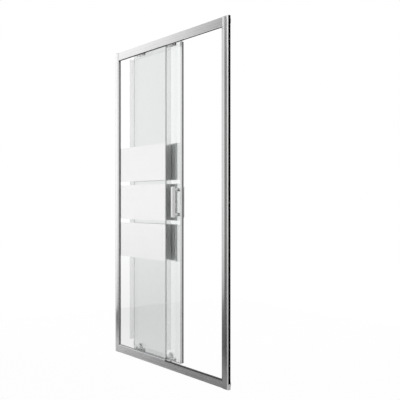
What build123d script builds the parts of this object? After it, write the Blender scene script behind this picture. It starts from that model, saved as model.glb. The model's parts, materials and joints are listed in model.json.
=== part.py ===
from build123d import *
import os

# Overall size: width across the two wall faces, height, and depth of the track members.
overall_width = 1200.0
overall_height = 1950.0
frame_depth = 58.0

# Upright stiles and the wall channels that slide inside them to take up an uneven wall.
stile_width = 38.0
stile_depth = 20.0
stile_bow = 0.8
stile_corner = 1.4
stile_skin = 2.0
stile_lip = 3.0
stile_pocket = 13.0
stile_web = 2.0
wall_seal_thickness = 1.5
wall_seal_width = 13.0
wall_seal_foot = 30.0
channel_reveal = 11.0
channel_wall = 1.5
channel_web = 2.0
channel_overlap = 11.0
telescope_gap = 0.2
cap_thickness = 2.0
cap_leg_wall = 1.5
cap_leg_depth = 10.0
cap_leg_gap = 1.0
plug_gap = 1.0

# Header track and bottom rail, drawn in depth behind the front face and height.
header_height = 50.0
header_skin = 2.0
header_rear_drop = 26.0
rail_height = 48.0
rail_base = 2.5
rail_rear_height = 24.0
rail_toe_radius = 6.0
front_skin = 3.0
track_web = 2.0
edge_radius = 2.0
groove_height = 2.0
groove_depth = 0.6
header_grooves = (7.0, 22.0)
rail_grooves = (9.0, 26.0)
glazing_channel = 13.0
bead_height = 8.0
bead_thickness = 4.5
bead_tongue = 1.5
glazing_floor = 16.0
port_outer = 4.2
port_bore = 2.05
port_blend = 0.7
port_shift = 0.5
port_web = 2.0
toe_backing = 1.0

# Glass panes. Both are the same thickness; the sliding one runs behind the fixed one.
glass_thickness = 6.0
fixed_glass_inset = 7.0
pane_pitch = 38.0
fixed_glass_edge = -2.0
closed_overlap = 20.0
open_reach = 105.0
glass_side_gap = 2.0
glass_head_cover = 25.0
setting_block_height = 4.0
setting_block_length = 60.0
setting_block_shares = (0.25, 0.75)
setting_block_margin = 1.0
sliding_foot_gap = 16.0
sliding_head_cover = 12.0
pane_corner = 3.0

# Three mirrored bands across each pane.
band_count = 3
band_height = 217.0
band_gap = 22.0
band_centre = 977.0
silver_thickness = 0.3
backing_thickness = 0.3
band_edge_gap = 1.0

# Seals and gaskets.
seal_grip = 6.0
seal_wall = 1.5
fin_thickness = 1.5
fin_clearance = 0.5
fin_margin = 8.0
seal_margin = 12.0
gasket_stand = 6.0
gasket_reveal = 2.5
gasket_depth = 12.0
gasket_drop = 4.0
gasket_tip = 1.0
head_gasket_lip = 1.5
head_gasket_lift = 1.0
sill_gasket_lip = 0.9
sill_gasket_rise = 4.0
leading_grip = 4.5
leading_width = 13.5
leading_depth = 13.5
leading_slot = 6.0
magnet_head = 4.0
magnet_slot_width = 7.4
wiper_drop = 12.0
wiper_cover = 4.0
profile_round = 1.0
magnet_head_inset = 0.5
magnet_head_round = 1.5

# Strips that close the empty glazing channels in the doorway.
infill_crown = 0.5
infill_shoulder = 3.5
infill_dome_run = 6.0
infill_dome_in = 1.9
infill_dome_drop = 0.9
infill_gap = 1.0
stile_infill_face = 1.0
stile_infill_inset = 2.0
stile_infill_leg = 1.2

# Handle pair, one bar on each face of the sliding pane.
handle_inset = 39.0
handle_centre = 977.0
handle_length = 180.0
handle_bar = 20.0
handle_reach = 20.0
handle_spacing = 145.0
handle_round = 3.5
post_radius = 8.0
stud_radius = 3.0
stud_engagement = 15.0
bush_flange = 1.0
bush_flange_radius = 9.5
glass_hole_radius = 7.0

# Rollers and the hangers that carry the sliding pane.
wheel_radius = 11.0
wheel_groove_radius = 9.0
wheel_width = 7.0
rim_clearance = 1.2
rim_lift = 4.3
wheel_land = 3.2
wheel_flank = 0.8
wheel_web_cut = 1.2
wheel_hub_wall = 2.0
wheel_rim_wall = 1.2
wheel_chamfer = 0.5
wheel_hole_radius = 1.3
wheel_hole_count = 5
roller_offset = 14.0
bead_width = 2.6
bead_crown = 0.45
lip_thickness = 2.0
lip_height = 14.0
lip_width = 17.0
hanger_inset = 95.0
hanger_half = 43.0
hanger_thickness = 4.0
hanger_top = 12.0
hanger_round = 6.0
hanger_drop = 3.5
wheel_offset = 25.0
axle_radius = 3.0
axle_head_radius = 5.0
axle_head = 1.7
buffer_thickness = 3.0
buffer_height = 26.0
buffer_proud = 1.0
pad_thickness = 1.0
clamp_thickness = 3.0
clamp_half = 36.0
clamp_height = 14.5
clamp_round = 3.0
bolt_radius = 2.5
bolt_head_radius = 4.5
bolt_head = 2.5
bolt_socket = 1.8
bolt_socket_share = 0.6
bolt_drop = 0.25
bolt_offset = 14.0
notch_width = 8.0
stop_length = 11.0
stop_height = 14.0
stop_gap = 0.5

# Quick release rollers at the foot of the sliding pane.
carriage_half = 43.0
carriage_lift = 5.0
carriage_height = 16.0
carriage_depth = 18.5
carriage_bolt_offset = 28.0
tower_half = 15.0
tower_height = 35.0
cover_thickness = 1.5
cover_round = 0.9
slider_half = 7.0
slider_foot_round = 4.2
slider_thickness = 4.0
slider_foot = 8.8
slider_set_back = 0.7
knob_half = 11.0
knob_height = 6.0
knob_gap = 2.0
knob_front = 3.5
knob_back = 3.0
knob_corner = 3.0
knob_edge = 1.2
spigot_lip = 1.0
release_travel = 8.0
slide_gap = 0.3
spring_radius = 2.6
spring_wire = 0.8
spring_turns = 6
spring_room = 0.2
spring_roof_wall = 10.0
spring_tab_rise = 4.0
spring_tab_thickness = 3.0
glass_bolt_hole = 5.0

# Strike side of the doorway.
strike_width = 27.7
strike_gap = 2.0
strike_flange_cover = 23.0
strike_screw_inset = 11.4
strike_screw_shift = 60.0
strike_depth = 35.0
strike_skin = 1.8
strike_flange = 2.0
strike_magnet_thickness = 3.7
strike_clearance = 0.3
strike_end_gap = 2.0
strike_magnet_inset = 1.0

# Running clearances and fasteners.
wheel_clearance = 0.3
bore_clearance = 0.05
hole_clearance = 0.1
rivet_clearance = 0.03
cut_past = 1.0
point_match = 0.01
screw_radius = 2.0
screw_head_radius = 3.8
screw_head = 2.4
frame_screw_length = 46.0
wall_screw_hole = 2.75
wall_screw_margin = 125.0
adjuster_margin = 180.0
adjuster_inset = 6.6
adjuster_length = 8.0
screw_cap_wall = 1.2
screw_cap_shoulder = 0.6

# Places worked out from the sizes above.
front = -frame_depth / 2
wall_face = overall_width / 2
stile_outer = wall_face - channel_reveal
stile_inner = stile_outer - stile_width
stile_middle = front + stile_depth / 2
header_bottom = overall_height - header_height
rail_front_top = rail_height - bead_height
channel_back = front + front_skin + glazing_channel
web_back = channel_back + track_web
fixed_front = front + fixed_glass_inset
fixed_back = fixed_front + glass_thickness
fixed_left = -(stile_outer - stile_pocket - stile_web - glass_side_gap)
fixed_bottom = glazing_floor + track_web + setting_block_height
fixed_top = header_bottom + glass_head_cover
sliding_front = fixed_front + pane_pitch
sliding_back = sliding_front + glass_thickness
sliding_bottom = rail_rear_height + sliding_foot_gap
sliding_top = header_bottom + sliding_head_cover
strike_left = stile_inner - strike_gap - strike_width
leading_reach = leading_width - leading_grip + magnet_head
closed_edge = strike_left - strike_clearance - leading_reach
sliding_open_edge = fixed_glass_edge + open_reach
sliding_left = sliding_open_edge - (closed_edge - fixed_glass_edge + closed_overlap)
door_travel = closed_edge - sliding_open_edge
roller_y = sliding_front - roller_offset
lip_bottom = header_bottom + lip_height
lip_top = lip_bottom + lip_thickness
top_bead = lip_top + wheel_radius - wheel_groove_radius + rim_clearance
top_axis = top_bead + wheel_clearance + wheel_groove_radius
bottom_axis = rail_base + wheel_radius + rim_lift
bottom_bead = bottom_axis - wheel_groove_radius - wheel_clearance
hanger_centres = (sliding_left + hanger_inset, sliding_open_edge - hanger_inset)
band_total = band_count * band_height + (band_count - 1) * band_gap
profile_left = sliding_open_edge - leading_grip
profile_right = profile_left + leading_width
seal_right = profile_right + magnet_head
strike_front = front + stile_depth
handle_x = sliding_open_edge - handle_inset
hanger_bottom = header_bottom - hanger_drop
carriage_bottom = sliding_bottom + carriage_lift
tower_top = carriage_bottom + tower_height
spring_roof = tower_top - spring_roof_wall
spring_tab_top = carriage_bottom + spring_tab_rise
seal_low = rail_height + seal_margin
seal_high = header_bottom - seal_margin
fin_bottom = tower_top + knob_gap + knob_height + release_travel + fin_margin
post_heights = (handle_centre - handle_spacing / 2, handle_centre + handle_spacing / 2)


def slab(x0, x1, y0, y1, z0, z1):
    """A straight block between two opposite corners."""
    middle = Pos((x0 + x1) / 2, (y0 + y1) / 2, (z0 + z1) / 2)
    return middle * Box(x1 - x0, y1 - y0, z1 - z0)


def wall(u0, u1, v0, v1):
    """One straight wall of a section."""
    return Pos((u0 + u1) / 2, (v0 + v1) / 2) * Rectangle(u1 - u0, v1 - v0)


def outline(*points):
    """A flat face with straight sides through the points."""
    return make_face(Polyline(*points, close=True))


def along_x(section, x0, x1):
    """Run a section drawn in depth and height across the width."""
    return extrude(Plane.YZ.offset(x0) * section, x1 - x0)


def along_y(section, y0, y1):
    """Run a section drawn in width and height through the depth."""
    return extrude(Plane.XZ.offset(-y0) * section, -(y1 - y0))


def along_z(section, z0, z1):
    """Run a section drawn in width and depth up the height."""
    return extrude(Plane.XY.offset(z0) * section, z1 - z0)


def rod_x(x0, x1, y, z, radius):
    """A round rod across the width."""
    return Pos((x0 + x1) / 2, y, z) * Rot(0, 90, 0) * Cylinder(radius, abs(x1 - x0))


def rod_y(x, y0, y1, z, radius):
    """A round rod through the depth."""
    return Pos(x, (y0 + y1) / 2, z) * Rot(90, 0, 0) * Cylinder(radius, abs(y1 - y0))


def turned(points, x, y, z):
    """A turned piece: radius and depth points spun about the depth axis through a place."""
    return Pos(x, y, z) * revolve(outline(*points), Axis.Y)


def rounded_at(section, places, radius):
    """Round the corners of a section that lie at the places."""
    chosen = [
        corner
        for corner in section.vertices()
        if any(abs(corner.X - u) < point_match and abs(corner.Y - v) < point_match for u, v in places)
    ]
    return fillet(chosen, radius)


def mirrored(shape):
    """The same piece on the other side of the middle."""
    return mirror(shape, about=Plane.YZ)


def save(name, *solids):
    """Write one named piece, or a group of alike pieces."""
    shape = solids[0] if len(solids) == 1 else Compound(children=list(solids))
    export_step(shape, os.path.join("parts", name + ".step"))


# Frame members

def header_section():
    """Header: front fascia, glazing channel, roller lip with its bead, and a short rear wall."""
    top = overall_height
    back = front + frame_depth
    section = wall(front, front + front_skin, header_bottom, top)
    section += wall(front, back, top - header_skin, top)
    section += wall(back - header_skin, back, header_bottom + header_rear_drop - track_web, top)
    section += wall(channel_back, web_back, header_bottom, top)
    section += wall(front, web_back, fixed_top + glass_side_gap, fixed_top + glass_side_gap + track_web)
    section += wall(web_back - track_web, web_back + lip_width, lip_bottom, lip_top)
    section += wall(roller_y - bead_width / 2, roller_y + bead_width / 2, lip_bottom, top_bead)
    section = rounded_at(section, [(front, top), (back, top)], edge_radius)
    bead_corners = [(roller_y + side * bead_width / 2, top_bead) for side in (-1, 1)]
    section = rounded_at(section, bead_corners, bead_width * bead_crown)
    for height in screw_port_heights(True):
        section += Pos(stile_middle - port_shift, height) * Circle(port_outer)
        section -= Pos(stile_middle - port_shift, height) * Circle(port_bore)
    return section


def rail_section():
    """Bottom rail: fascia with a rounded toe, glazing channel, track bead and a low rear wall."""
    back = front + frame_depth
    section = wall(front, back, 0, rail_base)
    section += wall(front, front + front_skin, 0, rail_front_top)
    toe = rail_toe_radius + toe_backing
    section += wall(front, front + toe, 0, toe)
    section += wall(channel_back, web_back, 0, rail_front_top)
    section += wall(front, web_back, glazing_floor, glazing_floor + track_web)
    section += wall(back - header_skin, back, 0, rail_rear_height)
    section += wall(roller_y - bead_width / 2, roller_y + bead_width / 2, 0, bottom_bead)
    section = rounded_at(section, [(front, 0)], rail_toe_radius)
    bead_corners = [(roller_y + side * bead_width / 2, bottom_bead) for side in (-1, 1)]
    section = rounded_at(section, bead_corners, bead_width * bead_crown)
    for height in screw_port_heights(False):
        section += Pos(stile_middle - port_shift, height) * Rectangle(port_web, glazing_floor - rail_base)
        section += Pos(stile_middle - port_shift, height) * Circle(port_outer)
        section -= Pos(stile_middle - port_shift, height) * Circle(port_bore)
    return section


def screw_port_heights(at_head):
    """Heights of the screw ports at one end of the frame."""
    if at_head:
        roof = overall_height - header_skin
        stop = fixed_top + glass_side_gap + track_web
        return (roof - port_outer + port_blend, stop + port_outer - port_blend)
    return ((rail_base + glazing_floor) / 2,)


def front_grooves(base, heights):
    """Fine lines pressed along a fascia."""
    section = Sketch()
    for height in heights:
        low = base + height - groove_height / 2
        section += wall(front - cut_past, front + groove_depth, low, low + groove_height)
    return section


def header_track():
    """The header, cut to run between the stiles."""
    section = header_section() - front_grooves(header_bottom, header_grooves)
    return along_x(section, -stile_inner, stile_inner)


def bottom_rail():
    """The bottom rail, cut to run between the stiles."""
    section = rail_section() - front_grooves(0, rail_grooves)
    return along_x(section, -stile_inner, stile_inner)


def stile_section():
    """Stile on the right: bowed face, pocket towards the wall, glazing channel towards the door."""
    near = front + stile_bow
    back = front + stile_depth
    left = stile_inner
    right = stile_outer
    face = ThreePointArc((right, near), ((left + right) / 2, front), (left, near))
    sides = Polyline((left, near), (left, back), (right, back), (right, near))
    section = Sketch() + make_face([face, sides])
    section = rounded_at(section, [(left, near), (right, near)], stile_corner)
    pocket_end = right - stile_pocket
    section -= wall(pocket_end, right + cut_past, front + stile_skin, back - stile_skin)
    section -= wall(left - cut_past, pocket_end - stile_web, front + stile_lip, back - stile_lip)
    return section


def stile():
    """A stile with the holes for its frame screws and adjusting screws."""
    shape = along_z(stile_section(), 0, overall_height - cap_thickness)
    web = stile_outer - stile_pocket
    for height in screw_port_heights(True) + screw_port_heights(False):
        shape -= rod_x(web - stile_web - cut_past, web + cut_past, stile_middle - port_shift, height,
                       screw_radius + hole_clearance)
    for height in adjuster_heights():
        back = front + stile_depth
        shape -= rod_y(adjuster_x(), back - stile_skin - cut_past, back + cut_past, height,
                       screw_radius + hole_clearance)
    return shape


def adjuster_heights():
    """Heights of the screws that lock a stile on its wall channel."""
    return [adjuster_margin, overall_height / 2, overall_height - adjuster_margin]


def adjuster_x():
    """Distance of the adjusting screws from the middle of the door."""
    return stile_outer - adjuster_inset


def wall_channel():
    """The U channel screwed to the wall, open towards the door, with its three screw holes."""
    outer = wall_face - wall_seal_thickness
    tip = stile_outer - channel_overlap
    near = front + stile_skin + telescope_gap
    far = front + stile_depth - stile_skin - telescope_gap
    section = wall(outer - channel_web, outer, near, far)
    section += wall(tip, outer, near, near + channel_wall)
    section += wall(tip, outer, far - channel_wall, far)
    shape = along_z(section, 0, overall_height)
    for height in wall_screw_heights():
        shape -= rod_x(outer - channel_web - cut_past, outer + cut_past, stile_middle, height,
                       wall_screw_hole)
    for height in adjuster_heights():
        shape -= rod_y(adjuster_x(), far - channel_wall - cut_past, far + cut_past, height,
                       screw_radius + bore_clearance)
    return shape


def wall_screw_heights():
    """Heights of the screws that hold a wall channel to the wall."""
    return [wall_screw_margin, overall_height / 2, overall_height - wall_screw_margin]


def wall_seal():
    """Soft black strip between the wall channel and the wall."""
    near = stile_middle - wall_seal_width / 2
    section = wall(wall_face - wall_seal_thickness, wall_face, near, near + wall_seal_width)
    shape = along_z(section, wall_seal_foot, overall_height)
    for height in wall_screw_heights():
        shape -= rod_x(wall_face - wall_seal_thickness - cut_past, wall_face + cut_past, stile_middle, height,
                       wall_screw_hole)
    return shape


def foot_plug():
    """Plastic plug that closes the foot of a wall channel."""
    inset = stile_skin + telescope_gap + channel_wall
    tip = stile_outer - channel_overlap + plug_gap
    outer = wall_face - wall_seal_thickness - channel_web
    block = slab(tip, outer, front + inset, front + stile_depth - inset, 0, wall_seal_foot)
    return fillet(block.edges().filter_by(Axis.Z).group_by(Axis.X)[0], stile_skin)


def stile_cap():
    """Cap on a stile's open top, with two legs in the glazing channel."""
    near = front + stile_bow
    back = front + stile_depth
    base = overall_height - cap_thickness
    left = stile_inner
    right = stile_outer
    face = ThreePointArc((right, near), ((left + right) / 2, front), (left, near))
    sides = Polyline((left, near), (left, back), (right, back), (right, near))
    section = Sketch() + make_face([face, sides])
    section = rounded_at(section, [(left, near), (right, near)], stile_corner)
    pocket_end = stile_outer - stile_pocket
    section -= wall(pocket_end, right + cut_past, front + stile_skin, back - stile_skin)
    shape = along_z(section, base, overall_height)
    leg_end = pocket_end - stile_web - cap_leg_gap
    legs = wall(left + stile_lip, leg_end, front + stile_lip, front + stile_lip + cap_leg_wall)
    legs += wall(left + stile_lip, leg_end, back - stile_lip - cap_leg_wall, back - stile_lip)
    return shape + along_z(legs, base - cap_leg_depth, base)


def frame_screws():
    """Screws through the stiles into the ports of the header and the rail."""
    web = stile_outer - stile_pocket
    screws = []
    for height in screw_port_heights(True) + screw_port_heights(False):
        y = stile_middle - port_shift
        screw = rod_x(web - stile_web - frame_screw_length, web, y, height, screw_radius)
        screw += rod_x(web, web + screw_head, y, height, screw_head_radius)
        screws += [screw, mirrored(screw)]
    return screws


def adjusting_screws():
    """Screws that lock each stile at its place on the wall channel, from the back."""
    back = front + stile_depth
    screws = []
    for height in adjuster_heights():
        screw = rod_y(adjuster_x(), back - adjuster_length, back, height, screw_radius)
        screw += rod_y(adjuster_x(), back, back + screw_head, height, screw_head_radius)
        screws += [screw, mirrored(screw)]
    return screws


def screw_caps():
    """Domed covers over the heads of the adjusting screws."""
    base = front + stile_depth
    inner = screw_head_radius + hole_clearance
    outer = inner + screw_cap_wall
    deep = screw_head + hole_clearance
    points = [(0, deep), (inner, deep), (inner, 0), (outer, 0), (outer, deep * screw_cap_shoulder)]
    points += [(outer - screw_cap_wall, deep + screw_cap_wall), (0, deep + screw_cap_wall)]
    caps = []
    for height in adjuster_heights():
        cap = turned(points, adjuster_x(), base, height)
        caps += [cap, mirrored(cap)]
    return caps


# Glass and its seals

def band_ranges():
    """Bottom and top of each mirrored band."""
    bottom = band_centre - band_total / 2
    pitch = band_height + band_gap
    return [(bottom + n * pitch, bottom + n * pitch + band_height) for n in range(band_count)]


def glass_sheet(x0, x1, y0, z0, z1):
    """A flat pane with its corners eased."""
    section = wall(x0, x1, z0, z1)
    corners = [(x, z) for x in (x0, x1) for z in (z0, z1)]
    return along_y(rounded_at(section, corners, pane_corner), y0, y0 + glass_thickness)


def fixed_glass():
    """The fixed pane, from the left stile to the middle of the opening."""
    return glass_sheet(fixed_left, fixed_glass_edge, fixed_front, fixed_bottom, fixed_top)


def sliding_glass():
    """The sliding pane with holes for its handle and rollers."""
    shape = glass_sheet(sliding_left, sliding_open_edge, sliding_front, sliding_bottom, sliding_top)
    for height in post_heights:
        shape -= rod_y(handle_x, sliding_front - cut_past, sliding_back + cut_past, height, glass_hole_radius)
    for middle in hanger_centres:
        for side in (-1, 1):
            x = middle + side * bolt_offset
            low = hanger_bolt_height() - notch_width / 2
            shape -= slab(x - notch_width / 2, x + notch_width / 2, sliding_front - cut_past,
                          sliding_back + cut_past, low, sliding_top + cut_past)
            x = middle + side * carriage_bolt_offset
            shape -= rod_y(x, sliding_front - cut_past, sliding_back + cut_past, carriage_bolt_height(),
                           glass_bolt_hole)
    return shape


def bands(x0, x1, y0, thickness, holes):
    """One layer of the mirrored bands on the back of a pane."""
    layers = []
    for bottom, top in band_ranges():
        layer = slab(x0, x1, y0, y0 + thickness, bottom, top)
        for x, z in holes:
            if bottom < z < top:
                layer -= rod_y(x, y0 - cut_past, y0 + thickness + cut_past, z,
                               bush_flange_radius + band_edge_gap)
        layers.append(layer)
    return layers


def save_bands():
    """The silvering and its dark backing on both panes."""
    left = -stile_inner + gasket_reveal + band_edge_gap
    right = fixed_glass_edge - seal_grip - band_edge_gap
    save("fixed_mirror_bands", *bands(left, right, fixed_back, silver_thickness, []))
    backing_y = fixed_back + silver_thickness
    save("fixed_band_backing", *bands(left, right, backing_y, backing_thickness, []))
    left = sliding_left + seal_grip + band_edge_gap
    right = profile_left - band_edge_gap
    holes = [(handle_x, height) for height in post_heights]
    save("sliding_mirror_bands", *bands(left, right, sliding_back, silver_thickness, holes))
    backing_y = sliding_back + silver_thickness
    save("sliding_band_backing", *bands(left, right, backing_y, backing_thickness, holes))


def side_gaskets():
    """Front and rear wedges that hold the fixed pane in the left stile."""
    deep = fixed_left + gasket_stand
    lip = -stile_inner
    tip = lip + gasket_reveal
    near = front + stile_lip
    far = front + stile_depth - stile_lip
    ahead = outline((deep, near), (lip, near), (tip, fixed_front - gasket_tip), (tip, fixed_front),
                    (deep, fixed_front))
    behind = outline((deep, fixed_back), (tip, fixed_back), (tip, fixed_back + gasket_tip), (lip, far),
                     (deep, far))
    return [along_z(shape, seal_low, seal_high) for shape in (ahead, behind)]


def head_gaskets():
    """Front and rear wedges that hold the fixed pane in the header."""
    near = front + front_skin
    deep = header_bottom + gasket_depth
    low = header_bottom - gasket_drop
    ahead = outline((near, deep), (fixed_front, deep), (fixed_front, low),
                    (fixed_front - head_gasket_lip, low), (near, header_bottom))
    behind = outline((fixed_back, deep), (channel_back, deep), (channel_back, header_bottom),
                     (fixed_back + head_gasket_lip, low + head_gasket_lift),
                     (fixed_back, low + head_gasket_lift))
    right = fixed_glass_edge - seal_grip - band_edge_gap
    return [along_x(shape, -stile_inner, right) for shape in (ahead, behind)]


def sill_gaskets():
    """Front and rear wedges that hold the fixed pane in the rail."""
    near = front + bead_thickness
    deep = rail_front_top - gasket_stand
    high = rail_height + gasket_stand
    ahead = outline((near, deep), (fixed_front, deep), (fixed_front, high),
                    (fixed_front - sill_gasket_lip, high), (near, rail_height))
    behind = outline((fixed_back, deep), (channel_back, deep), (channel_back, rail_front_top),
                     (fixed_back + gasket_tip, rail_front_top + sill_gasket_rise),
                     (fixed_back, rail_front_top + sill_gasket_rise))
    right = fixed_glass_edge - seal_grip - band_edge_gap
    return [along_x(shape, -stile_inner, right) for shape in (ahead, behind)]


def setting_blocks():
    """Two blocks that the fixed pane stands on."""
    width = fixed_glass_edge - fixed_left
    blocks = []
    for share in setting_block_shares:
        middle = fixed_left + share * width
        blocks.append(slab(middle - setting_block_length / 2, middle + setting_block_length / 2,
                           fixed_front - setting_block_margin, fixed_back + setting_block_margin,
                           glazing_floor + track_web, fixed_bottom))
    return blocks


def glazing_bead():
    """Aluminium bead snapped on the rail in front of the fixed pane."""
    section = wall(front, front + bead_thickness, rail_front_top, rail_height)
    section += wall(front + front_skin, front + bead_thickness, rail_front_top - bead_height, rail_height)
    section = rounded_at(section, [(front, rail_height)], edge_radius)
    return along_x(section, -stile_inner, fixed_glass_edge)


def rail_infill():
    """Domed strip over the rail's empty glazing channel in the doorway."""
    crown = (front + infill_dome_run, rail_height + infill_crown)
    shoulder = (front, rail_height - infill_shoulder)
    face = Polyline((front, rail_front_top), shoulder)
    dome = ThreePointArc(shoulder, (front + infill_dome_in, rail_height - infill_dome_drop), crown)
    slope = Polyline(crown, (web_back, rail_front_top + infill_shoulder), (web_back, rail_front_top),
                     (front, rail_front_top))
    section = Sketch() + make_face([face, dome, slope])
    for leg in (front + front_skin, channel_back - bead_tongue):
        section += wall(leg, leg + bead_tongue, rail_front_top - bead_height, rail_front_top + cut_past)
    return along_x(section, fixed_glass_edge + seal_wall + infill_gap, stile_inner)


def stile_infill():
    """Strip that closes the right stile's empty glazing channel."""
    face = stile_inner - stile_infill_face
    section = wall(face, stile_inner, front + stile_infill_inset, front + stile_depth - stile_infill_inset)
    legs = (front + stile_lip, front + stile_depth - stile_lip - stile_infill_leg)
    for leg in legs:
        section += wall(face, stile_inner + gasket_stand, leg, leg + stile_infill_leg)
    return along_z(section, rail_height + infill_gap, header_bottom)


def edge_seal(edge, side, y0, fin_to, z0, z1):
    """Clear seal clipped over a glass edge, with a fin across the gap between the panes."""
    far = edge - side * seal_grip
    lip = edge + side * seal_wall
    x0, x1 = sorted((far, lip))
    section = wall(x0, x1, y0 - seal_wall, y0 + glass_thickness + seal_wall)
    g0, g1 = sorted((far - side * cut_past, edge))
    section -= wall(g0, g1, y0, y0 + glass_thickness)
    shape = along_z(section, z0, z1)
    f0, f1 = sorted((lip, lip - side * fin_thickness))
    y_from, y_to = sorted((y0 + glass_thickness / 2, fin_to))
    fin = wall(f0, f1, y_from, y_to)
    return shape + along_z(fin, fin_bottom, seal_high)


def overlap_seal():
    """Seal on the fixed pane's free edge."""
    fin_to = sliding_front - fin_clearance
    return edge_seal(fixed_glass_edge, 1, fixed_front, fin_to, seal_low, seal_high)


def trailing_edge_seal():
    """Seal on the sliding pane's rear edge."""
    fin_to = fixed_back + silver_thickness + backing_thickness + 3 * fin_clearance
    z0 = carriage_bottom + carriage_height
    return edge_seal(sliding_left, -1, sliding_front, fin_to, z0, seal_high)


def leading_edge_profile():
    """Aluminium profile on the sliding pane's front edge."""
    middle = sliding_front + glass_thickness / 2
    near = middle - leading_depth / 2
    section = wall(profile_left, profile_right, near, near + leading_depth)
    corners = [(x, y) for x in (profile_left, profile_right) for y in (near, near + leading_depth)]
    section = rounded_at(section, corners, profile_round)
    section -= wall(profile_left - cut_past, sliding_open_edge, sliding_front, sliding_back)
    slot = magnet_slot_width / 2
    section -= wall(profile_right - leading_slot, profile_right + cut_past, middle - slot, middle + slot)
    return along_z(section, sliding_bottom + wiper_cover, sliding_top - gasket_stand)


def leading_magnet_seal():
    """Dark magnetic seal held in the leading profile."""
    middle = sliding_front + glass_thickness / 2
    slot = magnet_slot_width / 2 - hole_clearance
    section = wall(profile_right - leading_slot, profile_right + cut_past, middle - slot, middle + slot)
    half = leading_depth / 2 - magnet_head_inset
    head = wall(profile_right, seal_right, middle - half, middle + half)
    ends = [(seal_right, middle - half), (seal_right, middle + half)]
    section += rounded_at(head, ends, magnet_head_round)
    return along_z(section, sliding_bottom + wiper_cover, sliding_top - gasket_stand)


def bottom_wiper():
    """Clear drip seal on the sliding pane's bottom edge, hanging into the rail."""
    section = wall(sliding_front - seal_wall, sliding_back + seal_wall,
                   sliding_bottom - seal_wall, sliding_bottom + wiper_cover)
    section -= wall(sliding_front, sliding_back, sliding_bottom, sliding_bottom + wiper_cover + cut_past)
    middle = sliding_front + glass_thickness / 2
    section += wall(middle - fin_thickness / 2, middle + fin_thickness / 2,
                    sliding_bottom - wiper_drop, sliding_bottom - seal_wall)
    return along_x(section, sliding_left + pane_corner, sliding_open_edge - pane_corner)


# Handle

def handle(side):
    """One bar with its two posts; side is -1 in front of the pane and 1 behind it."""
    glass = sliding_front if side < 0 else sliding_back
    seat = glass + side * bush_flange
    inner = glass + side * handle_reach
    outer = inner + side * handle_bar
    y0, y1 = sorted((inner, outer))
    half = handle_bar / 2
    low = handle_centre - handle_length / 2
    bar = slab(handle_x - half, handle_x + half, y0, y1, low, low + handle_length)
    bar = fillet(bar.edges(), handle_round)
    for height in post_heights:
        bar += rod_y(handle_x, seat, inner + side * handle_round, height, post_radius)
    for height in post_heights:
        bar -= rod_y(handle_x, seat - side * cut_past, seat + side * (stud_engagement + cut_past), height,
                     stud_radius + bore_clearance)
    return bar


def handle_studs():
    """Threaded studs that draw the two bars together through the glass."""
    studs = []
    for height in post_heights:
        y0 = sliding_front - bush_flange - stud_engagement
        y1 = sliding_back + bush_flange + stud_engagement
        studs.append(rod_y(handle_x, y0, y1, height, stud_radius))
    return studs


def handle_bushes():
    """Flanged nylon bushes that keep the posts off the glass."""
    bushes = []
    half = glass_thickness / 2 - bore_clearance
    bore = stud_radius + hole_clearance
    sleeve = glass_hole_radius - hole_clearance
    flange = bush_flange_radius
    for height in post_heights:
        points = [(bore, -half), (sleeve, -half), (sleeve, 0), (flange, 0), (flange, bush_flange),
                  (bore, bush_flange)]
        bushes.append(turned(points, handle_x, sliding_back, height))
        points = [(r, -y) for r, y in points]
        bushes.append(turned(points, handle_x, sliding_front, height))
    return bushes


# Top rollers

def hanger_bolt_height():
    """Height of the bolts that clamp a hanger to the glass."""
    return hanger_bottom + clamp_height / 2 - bolt_drop


def carriage_bolt_height():
    """Height of the bolts that clamp a bottom carriage to the glass."""
    return carriage_bottom + carriage_height / 2


def hanger_back():
    """Depth of the hanger's face that looks at the glass."""
    return sliding_front - pad_thickness


def hanger(middle):
    """Hanger plate in front of the glass, which carries two roller axles."""
    back = hanger_back()
    low = hanger_bottom + buffer_height
    section = wall(middle - hanger_half, middle + hanger_half, hanger_bottom, low)
    top = top_axis + hanger_top
    section += wall(middle - clamp_half, middle + clamp_half, low - cut_past, top)
    shoulders = [(middle + side * clamp_half, top) for side in (-1, 1)]
    section = rounded_at(section, shoulders, hanger_round)
    lower = [(middle + side * hanger_half, hanger_bottom) for side in (-1, 1)]
    section = rounded_at(section, lower, edge_radius)
    shape = along_y(section, back - hanger_thickness, back)
    for side in (-1, 1):
        axle_x = middle + side * wheel_offset
        shape -= rod_y(axle_x, back - hanger_thickness - cut_past, back + cut_past, top_axis,
                       axle_radius + rivet_clearance)
        bolt_x = middle + side * bolt_offset
        shape -= rod_y(bolt_x, back - hanger_thickness - cut_past, back + cut_past, hanger_bolt_height(),
                       bolt_radius + bore_clearance)
    return shape


def hanger_axles():
    """Riveted axles for the top rollers."""
    y0 = roller_y - wheel_width / 2 - slide_gap - axle_head
    neck = y0 + axle_head
    collar = roller_y + wheel_width / 2 + slide_gap
    plate = hanger_back() - hanger_thickness
    points = [(0, y0), (axle_head_radius, y0), (axle_head_radius, neck), (axle_radius, neck),
              (axle_radius, collar), (axle_head_radius, collar), (axle_head_radius, plate),
              (axle_radius, plate), (axle_radius, hanger_back()), (0, hanger_back())]
    places = [middle + side * wheel_offset for middle in hanger_centres for side in (-1, 1)]
    return [turned(points, x, 0, top_axis) for x in places]


def hanger_buffers():
    """Rubber buffers on both ends of each hanger."""
    back = hanger_back()
    buffers = []
    for middle in hanger_centres:
        for side in (-1, 1):
            x0, x1 = sorted((middle + side * hanger_half, middle + side * (hanger_half + buffer_thickness)))
            buffers.append(slab(x0, x1, back - hanger_thickness - buffer_proud, back,
                                hanger_bottom + edge_radius, hanger_bottom + buffer_height))
    return buffers


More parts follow.
